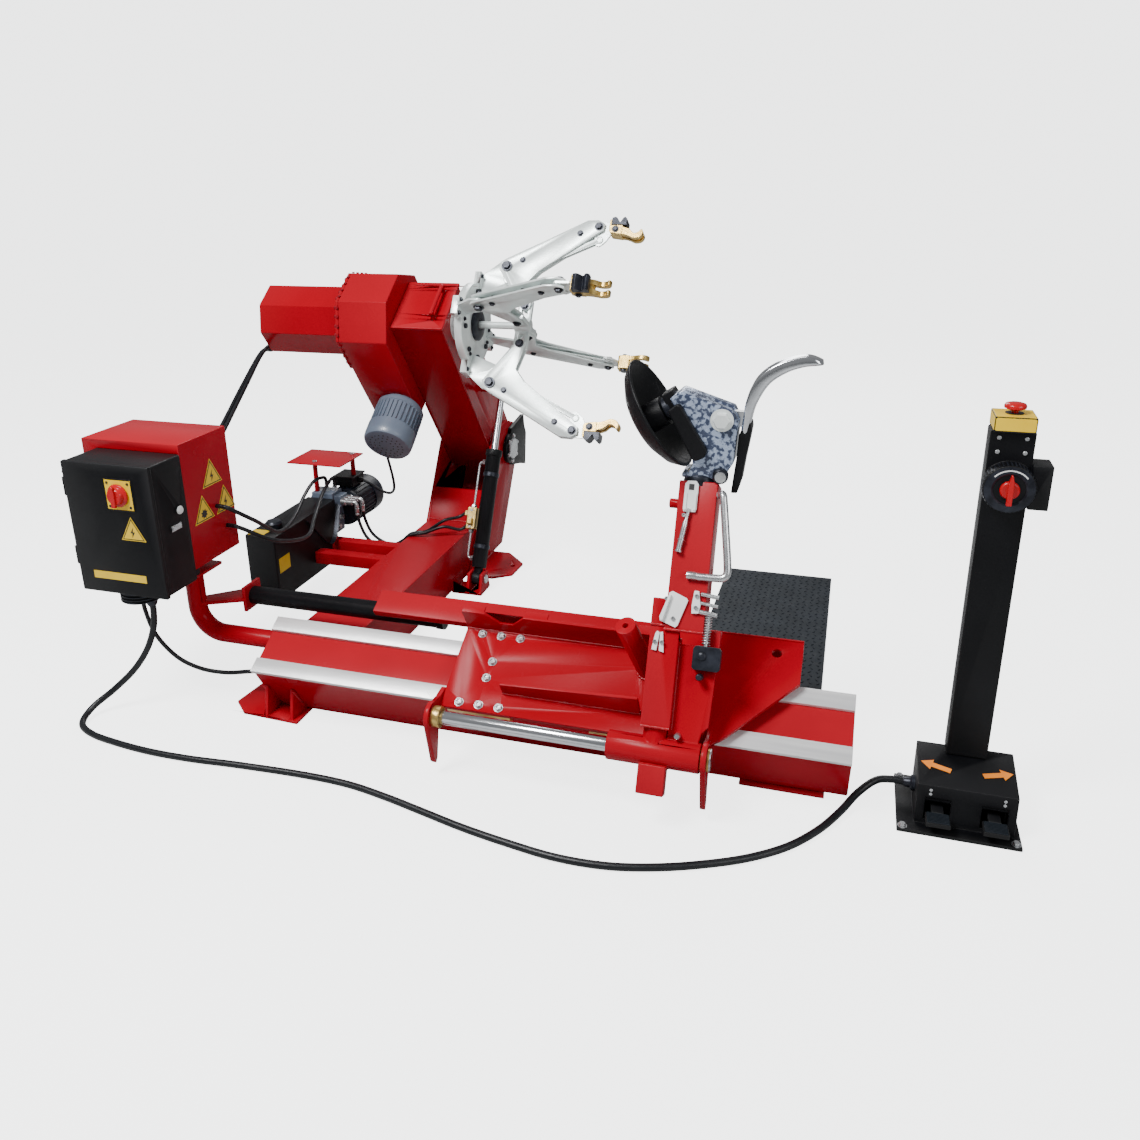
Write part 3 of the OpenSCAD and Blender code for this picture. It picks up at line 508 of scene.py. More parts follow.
# ---- Bed, column and carriage ----
def make_frame():
    for node, mat, bevel in (("bed_beam", "red_paint", .003), ("guide_rails", "ground_steel", .001),
                             ("cross_beam", "red_paint", .004), ("rear_column", "red_paint", .002),
                             ("pivot_shaft", "ground_steel", .0015), ("pivot_bearings", "black_paint", .002),
                             ("carriage_cylinder", "black_paint", .0015),
                             ("cabinet_support", "red_paint", .0015), ("pump_guard", "red_paint", .0015),
                             ("carriage_frame", "red_paint", .0015), ("slide_guides", "brass", .0006),
                             ("arm_shaft", "chrome", .002), ("shaft_rings", "brass", .001),
                             ("cylinder_rod", "chrome", .001)):
        refine(node, mat, bevel)
    bm = bmesh.new()
    for side in (-1, 1):
        face = PIVOT + Vector((side * (BEARING_HALF + .018), 0, 0))
        stud(bm, .048, .004, .044, .008, facing(face, (side, 0, 0)), 40)
        for a in around(6, .3):
            spot = face + .056 * Vector((0, math.cos(a), math.sin(a)))
            hex_bolt(bm, facing(spot, (side, 0, 0)), .008, .006)
    add("bearing_bolts", bm, "fitting_steel", "base", angle=30)
    seams = ((.037, .435, .0265), (-.134, .43, .2275), (-.134, .43, .2365), (.037, .435, .0345))
    runs = [((low, s, PLATE_TOP), (high, s, PLATE_TOP)) for low, high, s in seams]
    weld("carriage_welds", runs, "carriage", IN_BED)
    post_foot = [(.43 + .03 * math.cos(a), .165 + .031 * math.sin(a), PLATE_TOP) for a in [*around(24), TAU]]
    weld("post_weld", list(zip(post_foot, post_foot[1:])), "carriage", IN_BED, .005)
    frame_runs = [((-.79, .462, .201), (-.57, .462, .201)), ((-.556, .343, .0105), (-.556, .6, .0105)),
                  ((-.78, -.853, .105), (-.78, -.796, .012)), ((-.678, -.853, .105), (-.678, -.796, .012))]
    weld("frame_welds", frame_runs, "base")
    bm = bmesh.new()
    for x, s in [(x, s) for x in (-.08, -.021, .039) for s in (-.021, .211)] + [(-.022, .122), (-.024, .067)]:
        solid(bm, [(.006, -.014), (.006, 0), (.0135, 0), (.0135, .002)], IN_BED @ at(x, s, .045), 24)
        cap_screw(bm, IN_BED @ at(x, s, .047), .0105, .0085)
    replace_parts(add("plate_screws", bm, "fitting_steel", "carriage", angle=30), "carriage_bolts")
    bm = bmesh.new()
    for x, way, inner, outer, thick in ((-.1475, LEFT, .021, .027, .003), (.6405, RIGHT, .021, .027, .003),
                                        (.641, RIGHT, .0205, .03, .002)):
        lathe(bm, [(inner, 0), (outer, 0), (outer, thick), (inner, thick)],
              facing((x, SHAFT.y, SHAFT.z), way), 40)
    add("shaft_clips", bm, "fitting_steel", "carriage", angle=30)


MAT_STEP, MAT_LEAN = .0255, .9


def make_mat():
    """The floor mat: a thin sheet with rows of small raised lozenges, each leaning the other way."""
    bm = bmesh.new()
    prism(bm, [(.455, -.54), (.9, -.54), (.9, .71), (.475, .71)], .0055)
    for i in range(17):
        for j in range(48):
            x, y = .472 + MAT_STEP * i + (.006 if j % 2 else 0), -.522 + MAT_STEP * j
            if x > .888 or (x < .48 and y > .3):
                continue
            start = len(bm.verts)
            rings = [[bm.verts.new((a * half, b * wide, z)) for a, b in ((-1, 0), (0, -1), (1, 0), (0, 1))]
                     for half, wide, z in ((.0085, .0028, .005), (.006, .0016, .0078))]
            skin(bm, rings)
            lean = MAT_LEAN if (i + j) % 2 else -MAT_LEAN
            moved(bm, start, turned((x, y, 0), lean, "Z"))
    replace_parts(add("tread_mat", bm, "rubber", "base", smooth=False), "floor_mat")


# ---- Tool arm and head ----
def make_tool_arm():
    refine("tool_arm", "red_paint", .003)
    weld("tool_arm_welds", [((-.09, -.0385, .33), (-.014, -.0385, .33)),
                            ((-.052, -.0455, .321), (.05, -.0455, .321)),
                            ((-.088, -.0385, .066), (-.014, -.0385, .066)),
                            ((-.0115, -.0125, .065), (-.0115, -.0125, .28))], "tool_arm", IN_TOOL)
    # Clevis plate at the top, with two ribs and a thin black block as painted shade in its window
    bm = bmesh.new()
    prism(bm, [(-.033, .632), (-.002, .632), (.001, .64), (.001, .706), (-.006, .715), (-.028, .715),
               (-.035, .706), (-.035, .64)], .0075, upright(IN_TOOL, -.0455))
    for x in (-.033, -.008):
        block(bm, (x, -.0565, .636), (x + .007, -.0525, .68), IN_TOOL)
    add("clevis_plate", bm, "white_plastic", "tool_arm", bevel=.0012)
    # A thin black block on the plate, painted as the shade inside its window
    add_blocks("clevis_window_painted_shade", [((-.024, -.0545, .69), (-.01, -.0525, .706))], "ink_and_painted_shade", "tool_arm", IN_TOOL,
               bevel=.001)
    # Latch plate with a folded lip, and the split catch below it
    bm = bmesh.new()
    prism(bm, [(-.064, .341), (-.023, .327), (-.017, .333), (.004, .4), (0, .406), (-.038, .421),
               (-.046, .417), (-.067, .35)], .006, upright(IN_TOOL, -.0465))
    prism(bm, [(-.062, .344), (-.056, .342), (-.04, .41), (-.046, .412)], .012, upright(IN_TOOL, -.0515))
    prism(bm, [(-.08, .264), (-.067, .262), (-.062, .31), (-.069, .314), (-.074, .306)], .007,
          upright(IN_TOOL, -.0385))
    prism(bm, [(-.06, .262), (-.047, .259), (-.054, .313), (-.061, .311)], .007, upright(IN_TOOL, -.0385))
    prism(bm, [(.016, .368), (.034, .37), (.037, .392), (.03, .428), (.018, .428), (.0145, .39)], .009,
          upright(IN_TOOL, -.0465))
    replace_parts(add("latch_plates", bm, "white_plastic", "tool_arm", bevel=.0012), "arm_levers")
    # Push rod, its threaded end, the pull handle and the rods between the catch plates
    bm = bmesh.new()
    sweep(bm, smooth_path([(-.018, -.0555, .64), (-.024, -.0555, .6), (-.035, -.055, .524)], 5),
          lambda t: .0048 if t < .45 else .0072, 20, IN_TOOL)
    solid(bm, [(.0095, 0), (.0095, .004), (.0048, .006), (.0048, .03), (.0095, .032), (.0095, .034)], IN_TOOL
          @ facing((-.0345, -.055, .524), (.13, 0, 1)), 20)
    handle = smooth_path([(-.004, -.0545, .466), (.03, -.0545, .465), (.07, -.0545, .4655),
                          (.088, -.0545, .468), (.0965, -.0545, .48), (.0945, -.0545, .51),
                          (.084, -.054, .58), (.07, -.053, .668), (.0655, -.05, .684), (.06, -.042, .686),
                          (.052, -.035, .684)], 6)
    sweep(bm, handle, .0102, 20, IN_TOOL)
    solid(bm, [(.0104, 0), (.0108, .003), (.0108, .022), (.0096, .026)], IN_TOOL
          @ facing((-.006, -.0545, .466), RIGHT), 24)
    for x, y, z in ((-.03, -.0535, .622), (-.052, -.0535, .4), (-.03, -.0535, .35), (.026, -.0565, .384),
                    (.026, -.0565, .414), (-.0725, -.0465, .285), (-.0535, -.0465, .285)):
        cap_screw(bm, IN_TOOL @ facing((x, y, z), FRONT), .0055, .004)
    for z, r in ((.375, .006), (.398, .0045), (.421, .0055)):
        rod(bm, r, 0, .046, IN_TOOL @ facing((.036, -.05, z), (1, 0, -.12)), 20)
    add("latch_rods", bm, "fitting_steel", "tool_arm", angle=40)
    # Return spring of the lock: a helix round a rod
    bm = bmesh.new()
    turns, coil_r, low, high = 11, .01, .292, .366
    along = IN_TOOL @ at(.058, -.034, 0)
    half_radians = 2 * TAU * turns
    coil = [Vector((coil_r * math.cos(t / 2), coil_r * math.sin(t / 2),
                    low + (high - low) * t / half_radians)) for t in range(int(half_radians))]
    sweep(bm, coil, .0016, 6, along)
    rod(bm, .0055, .286, .372, along, 16)
    add("lock_spring", bm, "fitting_steel", "tool_arm")
    # Black lock block on the side plate
    bm = bmesh.new()
    prism(bm, [(.032, .226), (.094, .226), (.1, .234), (.1, .28), (.094, .288), (.034, .288), (.028, .28),
               (.028, .232)], .03, upright(IN_TOOL, -.0125))
    stud(bm, .009, .032, .007, .036, IN_TOOL @ facing((.05, -.0125, .208), FRONT))
    stud(bm, .011, .003, .008, .005, IN_TOOL @ facing((.052, -.0425, .262), FRONT))
    add("lock_block", bm, "black_steel", "tool_arm", bevel=.002)
    bm = bmesh.new()
    stud(bm, .0085, .02, .006, .024, IN_TOOL @ facing((.008, -.0125, .05), FRONT))
    add("grease_plug", bm, "fitting_steel", "tool_arm", angle=35)


def make_head():
    casting = refine("head_casting", "hammertone", .005)
    casting.modifiers["edges"].segments = 3
    refine("bead_disc", "black_paint", .0012)
    bm = bmesh.new()
    hex_bolt(bm, IN_HEAD @ facing((.051, -.0425, .166), FRONT), .0225, .016)
    hex_bolt(bm, IN_HEAD @ facing((.051, .0425, .166), BACK), .0225, .014)
    add("head_bolts", bm, "zinc_plate", "tool_head", angle=30)
    # Knurled lock pin and the collar of the swivel
    pin = IN_HEAD @ facing((.052, -.03, .018), (.1, -1, 0))
    bm = bmesh.new()
    lathe(bm, [(0, 0), (.017, 0), (.017, .004), (.0195, .006), (.0195, .03), (.017, .033), (0, .034)], pin,
          32)
    for a in around(30):
        block(bm, (.0189, -.0009, .007), (.0207, .0009, .029), pin @ Matrix.Rotation(a, 4, "Z"))
    solid(bm, [(.044, -.04), (.048, -.034), (.048, -.012), (.04, -.004)], IN_HEAD
          @ turned((0, -.004, 0), -TOOL_LEAN))
    add("swivel_collar", bm, "black_steel", "tool_head", angle=35)
    bm = bmesh.new()
    lathe(bm, [(0, .034), (.015, .034), (.0145, .036), (0, .037)], pin, 32)
    add("pin_end", bm, "fitting_steel", "tool_head", angle=30)
    # Black slide bar that leans across the casting
    bm = bmesh.new()
    prism(bm, [(-.088, .187), (-.066, .205), (-.056, .204), (.014, .092), (.017, .08), (.01, .066),
               (-.01, .056), (-.022, .06)], .02, upright(IN_HEAD, -.0418))
    prism(bm, [(-.113, .2192), (-.084, .2372), (.006, .099), (-.02, .07)], .0612, upright(IN_HEAD, .0306))
    add("slide_bar", bm, "black_paint", "tool_head", bevel=.004, segments=3)
    # Axle collar of the disc
    bm = bmesh.new()
    solid(bm, [(.03, .021), (.034, .025), (.034, .04), (.026, .046)], IN_DISC, 40)
    add("axle_collar", bm, "black_steel", "tool_head", angle=35)
    make_hook()
    # Black foot shoe that wraps the lower end of the hook
    bm = bmesh.new()
    prism(bm, [(.08, -.035), (.0965, -.0345), (.106, 0), (.113, .055), (.122, .112), (.126, .142),
               (.124, .158), (.112, .156), (.0935, .124), (.09, .06), (.0845, .01)], .056,
          upright(IN_HEAD, .028))
    add("hook_shoe", bm, "black_paint", "tool_head", bevel=.003, segments=3)


def make_hook():
    """A forged claw, thick at its bend, hollowed on its inner side and thinned to a rounded tip."""
    outer = smooth_path([(.094, -.033), (.103, 0), (.11, .055), (.119, .112), (.1245, .17), (.1385, .216),
                         (.166, .2625), (.208, .293), (.248, .3075), (.28, .3115), (.292, .314)], 6)
    inner = smooth_path([(.086, -.033), (.088, .01), (.0935, .06), (.0955, .112), (.1005, .168),
                         (.1015, .214), (.115, .266), (.148, .3045), (.192, .3285), (.246, .3385),
                         (.29, .326)], 6)
    outer, inner = ([Vector((p[0], 0, p[1])) for p in line] for line in (outer, inner))
    bm = bmesh.new()
    rings = []
    for i, (a, b) in enumerate(zip(outer, inner)):
        t = i / (len(outer) - 1)
        wide = .0135 + .019 * math.sin(math.pi * min(1, t * .66 + .12)) ** 2
        if t > .93:
            wide *= math.sqrt(max(.06, 1 - ((t - .93) / .075) ** 2))
        hollow = .42 * math.sin(math.pi * min(1, max(0, (t - .38) / .6)))
        ring = []
        for angle in around(32):
            u = math.copysign(abs(math.cos(angle)) ** .5, math.cos(angle))
            v = math.copysign(abs(math.sin(angle)) ** .6, math.sin(angle))
            depth = .5 + .5 * v
            if v > 0:
                depth -= hollow * (1 - u * u)
            p = a.lerp(b, depth)
            ring.append(bm.verts.new((p.x, u * wide, p.z)))
        rings.append(ring)
    skin(bm, rings)
    # Its lug reaches into the slot of the casting
    prism(bm, [(.038, .152), (.1, .142), (.103, .184), (.042, .184)], .0176, upright(Matrix(), .0088))
    bmesh.ops.transform(bm, matrix=IN_HEAD, verts=bm.verts)
    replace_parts(add("hook_blade", bm, "chrome", "tool_head", angle=60), "bead_hook")


# ---- Chuck arm ----
def ribbed_motor(bm, matrix, r, length, fins, cap):
    """A motor body along local Z: end shield, ribbed barrel and a domed fan cover."""
    solid(bm, [(r * .84, 0), (r * .84, .012), (r * .97, .014), (r * .97, .03), (r * .93, .034),
               (r * .93, length - cap), (r, length - cap), (r, length - .03), (r * .985, length - .012),
               (r * .93, length - .003), (r * .8, length)], matrix, 72)
    for a in around(fins):
        block(bm, (r * .9, -.0014, .036), (r * .985, .0014, length - cap - .004),
              matrix @ Matrix.Rotation(a, 4, "Z"))


FLANGE_FLAT = .172      # From the spindle's axis to a flat of the octagon


def make_chuck_arm():
    for node, mat, bevel in (
            ("lift_arm", "red_paint", .004), ("gear_housing", "red_paint", .004),
            ("spindle_cover", "red_paint", .003), ("spindle_bearings", "ground_steel", .001),
            ("spindle", "ground_steel", .0008), ("pinion_shaft", "ground_steel", .001),
            ("worm_shaft", "ground_steel", .001)):
        refine(node, mat, bevel)
    # Flange screws all round the octagon, on both sides of the joint
    bm = bmesh.new()
    for a in around(8):
        out = Vector((0, math.cos(a), math.sin(a)))
        along = Vector((0, -math.sin(a), math.cos(a)))
        for step in (-.052, -.018, .018, .052):
            spot = Vector((-.322, 0, ARM_LEN)) + out * FLANGE_FLAT + along * step
            hex_bolt(bm, IN_ARM @ facing(spot, LEFT), .0085, .007)
            hex_bolt(bm, IN_ARM @ facing(spot + out * .0135 + Vector((.01, 0, 0)), out), .0062, .005, False)
    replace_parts(add("flange_screws", bm, "dark_red_paint", "lift_arm", angle=30), "housing_bolts")
    bm = bmesh.new()
    ribbed_motor(bm, IN_ARM @ facing(MOTOR_FOOT, FRONT), .1, .202, 34, .075)
    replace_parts(add("gear_motor", bm, "motor_grey", "lift_arm", angle=40), "drive_motor")
    bm = bmesh.new()
    block(bm, (-.225, -.33, .392), (-.115, -.24, .424), IN_ARM)
    stud(bm, .011, .014, .008, .022, IN_ARM @ facing((-.225, MOTOR_TERMINAL_Y, .408), LEFT))
    add("motor_terminals", bm, "pump_grey", "lift_arm", bevel=.004)
    # Thin black discs on the fan cover: painted shade standing for the dark inside of its vent holes
    bm = bmesh.new()
    for ring_r, count in ((.03, 10), (.05, 16), (.068, 22)):
        for a in around(count):
            spot = MOTOR_FOOT + Vector((ring_r * math.cos(a), -.2018, ring_r * math.sin(a)))
            rod(bm, .0032, 0, .0009, IN_ARM @ facing(spot, FRONT), 12)
    add("vent_holes_painted_shade", bm, "ink_and_painted_shade", "lift_arm", smooth=False)
    weld("arm_welds", [((-.106, -.1185, .012), (-.106, -.1185, .44)),
                       ((.106, -.1185, .012), (.106, -.1185, .88)),
                       ((-.106, -.1185, .8895), (.106, -.1185, .8895)),
                       ((.1065, -.118, .8895), (.1065, .118, .8895))], "lift_arm", IN_ARM, .003)
    bm = bmesh.new()
    for y in (-.03, .03):
        stud(bm, .013, .022, .01, .026, IN_ARM @ facing((-.692, y, .76), LEFT))
        hex_bolt(bm, IN_ARM @ facing((-.716, y, .76), LEFT), .015, .012, False)
    add("union_fittings", bm, "fitting_steel", "lift_arm", angle=30)


def make_lift():
    refine("lift_barrel", "black_paint", .0015)
    refine("lift_rod", "chrome", .001)
    add_blocks("valve_block", [((-.072, -.026, .196), (-.034, .014, .286)),
                               ((-.064, -.044, .214), (-.044, -.024, .24)),
                               ((-.088, -.016, .25), (-.07, .004, .272))], "brass", "lift_barrel", IN_LIFT,
               bevel=.003)
    bm = bmesh.new()
    for z, way in ((.286, UP), (.196, DOWN)):
        hex_bolt(bm, IN_LIFT @ facing((-.053, -.006, z), way), .011, .014, False)
    for z in (.48, .078):
        hex_bolt(bm, IN_LIFT @ facing((-.029, -.006, z), LEFT), .011, .012, False)
    for a, b in ((.296, .48), (.186, .078)):
        bend = .016 if b > a else -.016
        sweep(bm, smooth_path([(-.053, -.006, a), (-.053, -.006, b - 1.6 * bend),
                               (-.051, -.006, b - .5 * bend), (-.044, -.006, b), (-.036, -.006, b)], 5),
              .0042, 14, IN_LIFT)
    for k in range(3):
        hex_bolt(bm, IN_LIFT @ facing((-.054, -.026, .206 + .034 * k), FRONT), .006, .004, False)
    add("valve_pipes", bm, "fitting_steel", "lift_barrel", angle=35)
    bm = bmesh.new()
    for z in (.12, .42):
        lathe(bm, [(.0301, 0), (.0335, .001), (.0335, .017), (.0301, .018)], IN_LIFT @ at(0, 0, z), 48)
    add("barrel_bands", bm, "black_steel", "lift_barrel", angle=35)
    bm = bmesh.new()
    for side in (-1, 1):
        stud(bm, .018, .004, .016, .006, facing(LIFT_PIN + Vector((side * .034, 0, 0)), (side, 0, 0)), 32)
    add("lift_pin_caps", bm, "fitting_steel", "base", angle=35)


# ---- Chuck ----
def make_chuck():
    refine("chuck_disc", "zinc_plate", .0015)
    refine("crosshead", "zinc_plate", .0012)
    bm = bmesh.new()
    centre = Vector((CHUCK_FACE, CHUCK.y, CHUCK.z))
    for a in around(8, math.radians(7)):
        spot = centre + .125 * Vector((0, math.sin(a), math.cos(a)))
        cap_screw(bm, facing(spot, RIGHT), .01, .009)
    lathe(bm, [(.02, 0), (.062, 0), (.062, .008), (.056, .012), (.03, .014), (.02, .014)],
          facing(centre, RIGHT))
    for here in IN_JAW:
        for y in (-.026, .026):
            for r in (.128, .188):
                hex_bolt(bm, here @ facing((CHUCK_FACE + .0005, y, r), RIGHT), .0065, .005)
    add("disc_screws", bm, "black_steel", "chuck", angle=30)
    for i in range(4):
        make_clamp(i)


def make_clamp(i):
    """One of the four clamps, in a frame with X along the spindle and Z outward to its jaw."""
    here = IN_JAW[i]
    arm, link, jaw = (f"clamp_{part}_{i + 1}" for part in ("arm", "link", "jaw"))
    refine(arm, "zinc_plate", .0014)
    refine(link, "zinc_plate", .0008)
    # Pin heads, nuts and spacers between the two plates
    bm = bmesh.new()
    for (x, r), size, face in ((ARM_PIVOT, .0155, .0222), (ARM_TIP, .0125, .0172), (INNER_PIN, .0125, .0172),
                               ((-.335, .262), .009, .0172), ((-.12, .372), .009, .0172)):
        for side in (-1, 1):
            hex_bolt(bm, here @ facing((x, side * face, r), (0, side, 0)), size, size * .62)
    for x, r in ((-.2, .334), (-.335, .262), (-.12, .372)):
        rod(bm, .0075, -.009, .009, here @ facing((x, 0, r), BACK))
    add(f"arm_pins_{i + 1}", bm, "black_steel", arm, angle=30)
    bm = bmesh.new()
    x, r = LINK_PIVOT
    for side in (-1, 1):
        rod(bm, .011, 0, .0004, here @ facing((x, side * .0085, r), (0, side, 0)))
    add(f"link_washers_{i + 1}", bm, "fitting_steel", link, angle=30)
    # Jaw: carrier lug, black V block, and brass claws that turn up at their tips
    bm = bmesh.new()
    prism(bm, [(-.068, .388), (-.064, .34), (-.056, .328), (-.044, .325), (-.034, .332), (-.018, .348),
               (-.003, .374), (-.003, .418), (-.01, .424), (-.06, .424), (-.068, .416)], .009,
          upright(here, .0045))
    for x, r in (ARM_TIP, LINK_TIP):
        rod(bm, .0085, -.0078, .0078, here @ facing((x, 0, r), BACK))
    add(f"jaw_lug_{i + 1}", bm, "zinc_plate", jaw, bevel=.001)
    bm = bmesh.new()
    prism(bm, [(.0005, .403), (.0575, .403), (.0575, .428), (.05, .4355), (.0425, .431), (.032, .4125),
               (.02, .431), (.012, .4355), (.0005, .431)], .056, upright(here, .028))
    for side in (-1, 1):
        hex_bolt(bm, here @ facing((.017, side * .0282, .385), (0, side, 0)), .01, .006)
    add(f"jaw_block_{i + 1}", bm, "black_steel", jaw, bevel=.0015)
    bm = bmesh.new()
    prism(bm, [(-.0075, .378), (-.002, .371), (.04, .3645), (.0435, .372), (.0435, .4025), (.0005, .4025),
               (.0005, .424), (-.004, .426), (-.0075, .42)], .0555, upright(here, .02775))
    # Two curled feet: drop away from the body, then turn up at the tip
    foot = [(.04, .3655), (.056, .3635), (.07, .359), (.08, .354), (.09, .3505), (.1, .351),
            (.11, .353), (.118, .359), (.123, .368), (.1235, .377), (.12, .385), (.1155, .3875),
            (.111, .383), (.107, .377), (.101, .3735), (.094, .3715), (.087, .3715), (.079, .3785),
            (.07, .3875), (.056, .393), (.04, .3975)]
    for side in (.026, -.008):
        prism(bm, foot, .018, upright(here, side))
    prism(bm, [(.04, .37), (.066, .364), (.07, .372), (.06, .385), (.04, .39)], .018, upright(here, .009))
    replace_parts(add(f"jaw_claws_{i + 1}", bm, "brass", jaw, bevel=.002, segments=3), jaw)


# ---- Cabinet ----
def make_cabinet():
    for node, mat, bevel in (("cabinet_shell", "red_paint", .003),
                             ("cabinet_enclosure", "black_paint", .005),
                             ("cabinet_door", "black_paint", .005),
                             ("electric_panel", "white_plastic", .002)):
        refine(node, mat, bevel)
    add_blocks("switch_plate", [((-1.136, -.9945, .719), (-1.044, -.9925, .811))], "yellow_plastic",
               "cabinet_door", bevel=.002)
    bm = bmesh.new()
    for x, z in ((-1.126, .729), (-1.054, .729), (-1.126, .801), (-1.054, .801)):
        cap_screw(bm, facing((x, -.9945, z), FRONT), .004, .002)
    add("switch_screws", bm, "ink_and_painted_shade", "cabinet_door")
    spin = facing((-1.09, -.996, .765), FRONT)
    bm = bmesh.new()
    solid(bm, [(.034, 0), (.034, .006), (.03, .009), (.027, .01), (.024, .02), (.022, .022)], spin, 56)
    for a in around(28):
        block(bm, (.031, -.0012, .001), (.0348, .0012, .0065), spin @ Matrix.Rotation(a, 4, "Z"))
    prism(bm, [(-.007, -.031), (.007, -.031), (.0085, .01), (.006, .031), (0, .034), (-.006, .031),
               (-.0085, .01)], .0085, spin @ at(0, 0, .019))
    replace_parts(add("switch_knob", bm, "red_plastic", "main_switch", bevel=.0012), "main_switch")
    triangle_sign("door_sign", facing((-1.066, -.9902, .648), FRONT), .05, "cabinet_door", spark)
    for n, (y, z) in enumerate(((-.704, .742), (-.763, .64), (-.652, .64))):
        triangle_sign(f"side_sign_{n}", facing((-.9868, y, z), RIGHT), .057, "base",
                      (spark, wheel_mark)[n % 2])
    add_blocks("door_stripe", [((-1.235, -.9906, .488), (-1.045, -.9899, .512))], "yellow_label",
               "cabinet_door", smooth=False)
    bm = bmesh.new()
    lathe(bm, [(0, 0), (.013, 0), (.013, .002), (.01, .006), (0, .008)], facing((-.98, -.88, .69), RIGHT), 32)
    add("side_cap", bm, "white_plastic", "base", angle=40)
    bm = bmesh.new()
    block(bm, (-.985, -.925, .634), (-.9795, -.88, .652))
    rod(bm, .008, 0, .003, facing((-.9795, -.915, .643), RIGHT))
    add("side_latch", bm, "fitting_steel", "base", bevel=.001)
    bm = bmesh.new()
    for z in (.563, .813):
        lathe(bm, [(0, 0), (.0045, 0), (.0045, .004), (0, .005)], facing((-1.297, -.975, z), UP), 20)
    add("hinge_pins", bm, "fitting_steel", "base")
    bm = bmesh.new()
    for k in range(5):
        lathe(bm, [(.0621, 0), (.065, .002), (.065, .004), (.0621, .006)], at(-1.145, -.905, .396 + .01 * k))
    solid(bm, [(.02, 0), (.02, .01), (.014, .026), (.0105, .03)], facing((-1.12, -.9, .396), DOWN), 32)
    add("gland_rings", bm, "black_steel", "base", angle=35)


# ---- Pump ----
def make_pump():
    refine("pump_tank", "black_paint", .006)
    bm = bmesh.new()
    ribbed_motor(bm, facing((-1.1, .262, .29), BACK), .084, .238, 30, .08)
    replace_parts(add("pump_motor", bm, "pump_grey", "base", angle=40), "pump_unit")
    add_blocks("pump_manifold", [((-1.19, .18, .2), (-1.092, .262, .38)),
                                 ((-1.2, .188, .3), (-1.188, .25, .36)),
                                 ((-1.094, .19, .32), (-1.06, .25, .368))], "motor_grey", "base", bevel=.004)
    bm = bmesh.new()
    block(bm, (-1.15, .3, .372), (-1.06, .4, .41))
    block(bm, (-1.155, .294, .408), (-1.055, .406, .416))
    stud(bm, .012, .016, .008, .024, facing((-1.06, .35, .392), RIGHT))
    add("pump_terminals", bm, "black_paint", "base", bevel=.003)
    bm = bmesh.new()
    for x, y in ((-1.14, .222), (-1.11, .235), (-1.17, .212)):
        hex_bolt(bm, facing((x, y, .38), UP), .0125, .012)
    for y, z in ((.205, .23), (.236, .262)):
        hex_bolt(bm, facing((-1.092, y, z), RIGHT), .011, .012)
    for k in range(3):
        solid(bm, [(.014, 0), (.014, .02), (.011, .024), (.011, .05), (.008, .052)],
              facing((-1.06, .196 + .024 * k, .344), RIGHT), 24)
    add("pump_fittings", bm, "fitting_steel", "base", angle=32)
    bm = bmesh.new()
    lathe(bm, [(0, 0), (.03, 0), (.032, .004), (.032, .02), (.026, .028), (0, .03)],
          facing((-1.14, -.18, .36), UP), 40)
    add("filler_cap", bm, "black_steel", "base", angle=35)
    add_blocks("tank_label", [((-1.2, -.268, .3601), (-1.135, -.216, .3608)),
                              ((-1.0802, -.262, .21), (-1.0793, -.19, .268))], "yellow_label", "base",
               smooth=False)
    # Slotted strap that holds the tank to the side tubes
    bm = bmesh.new()
    strap = smooth_path([(-1.078, -.05, .345), (-1.06, .03, .24), (-1.056, .08, .205), (-1.06, .13, .24),
                         (-1.078, .2, .345)], 6)
    for a, b in zip(strap, strap[1:]):
        step = b - a
        m = Matrix.Translation(a) @ step.to_track_quat("Z", "X").to_matrix().to_4x4()
        block(bm, (-.0016, -.009, 0), (.0016, .009, step.length * 1.02), m)
    add("tank_strap", bm, "black_steel", "base", smooth=False)
    bm = bmesh.new()
    for x, y in ((-1.172, .2), (-1.075, .34)):
        cap_screw(bm, facing((x, y, .506), UP), .01, .006)
    add("guard_screws", bm, "fitting_steel", "base")


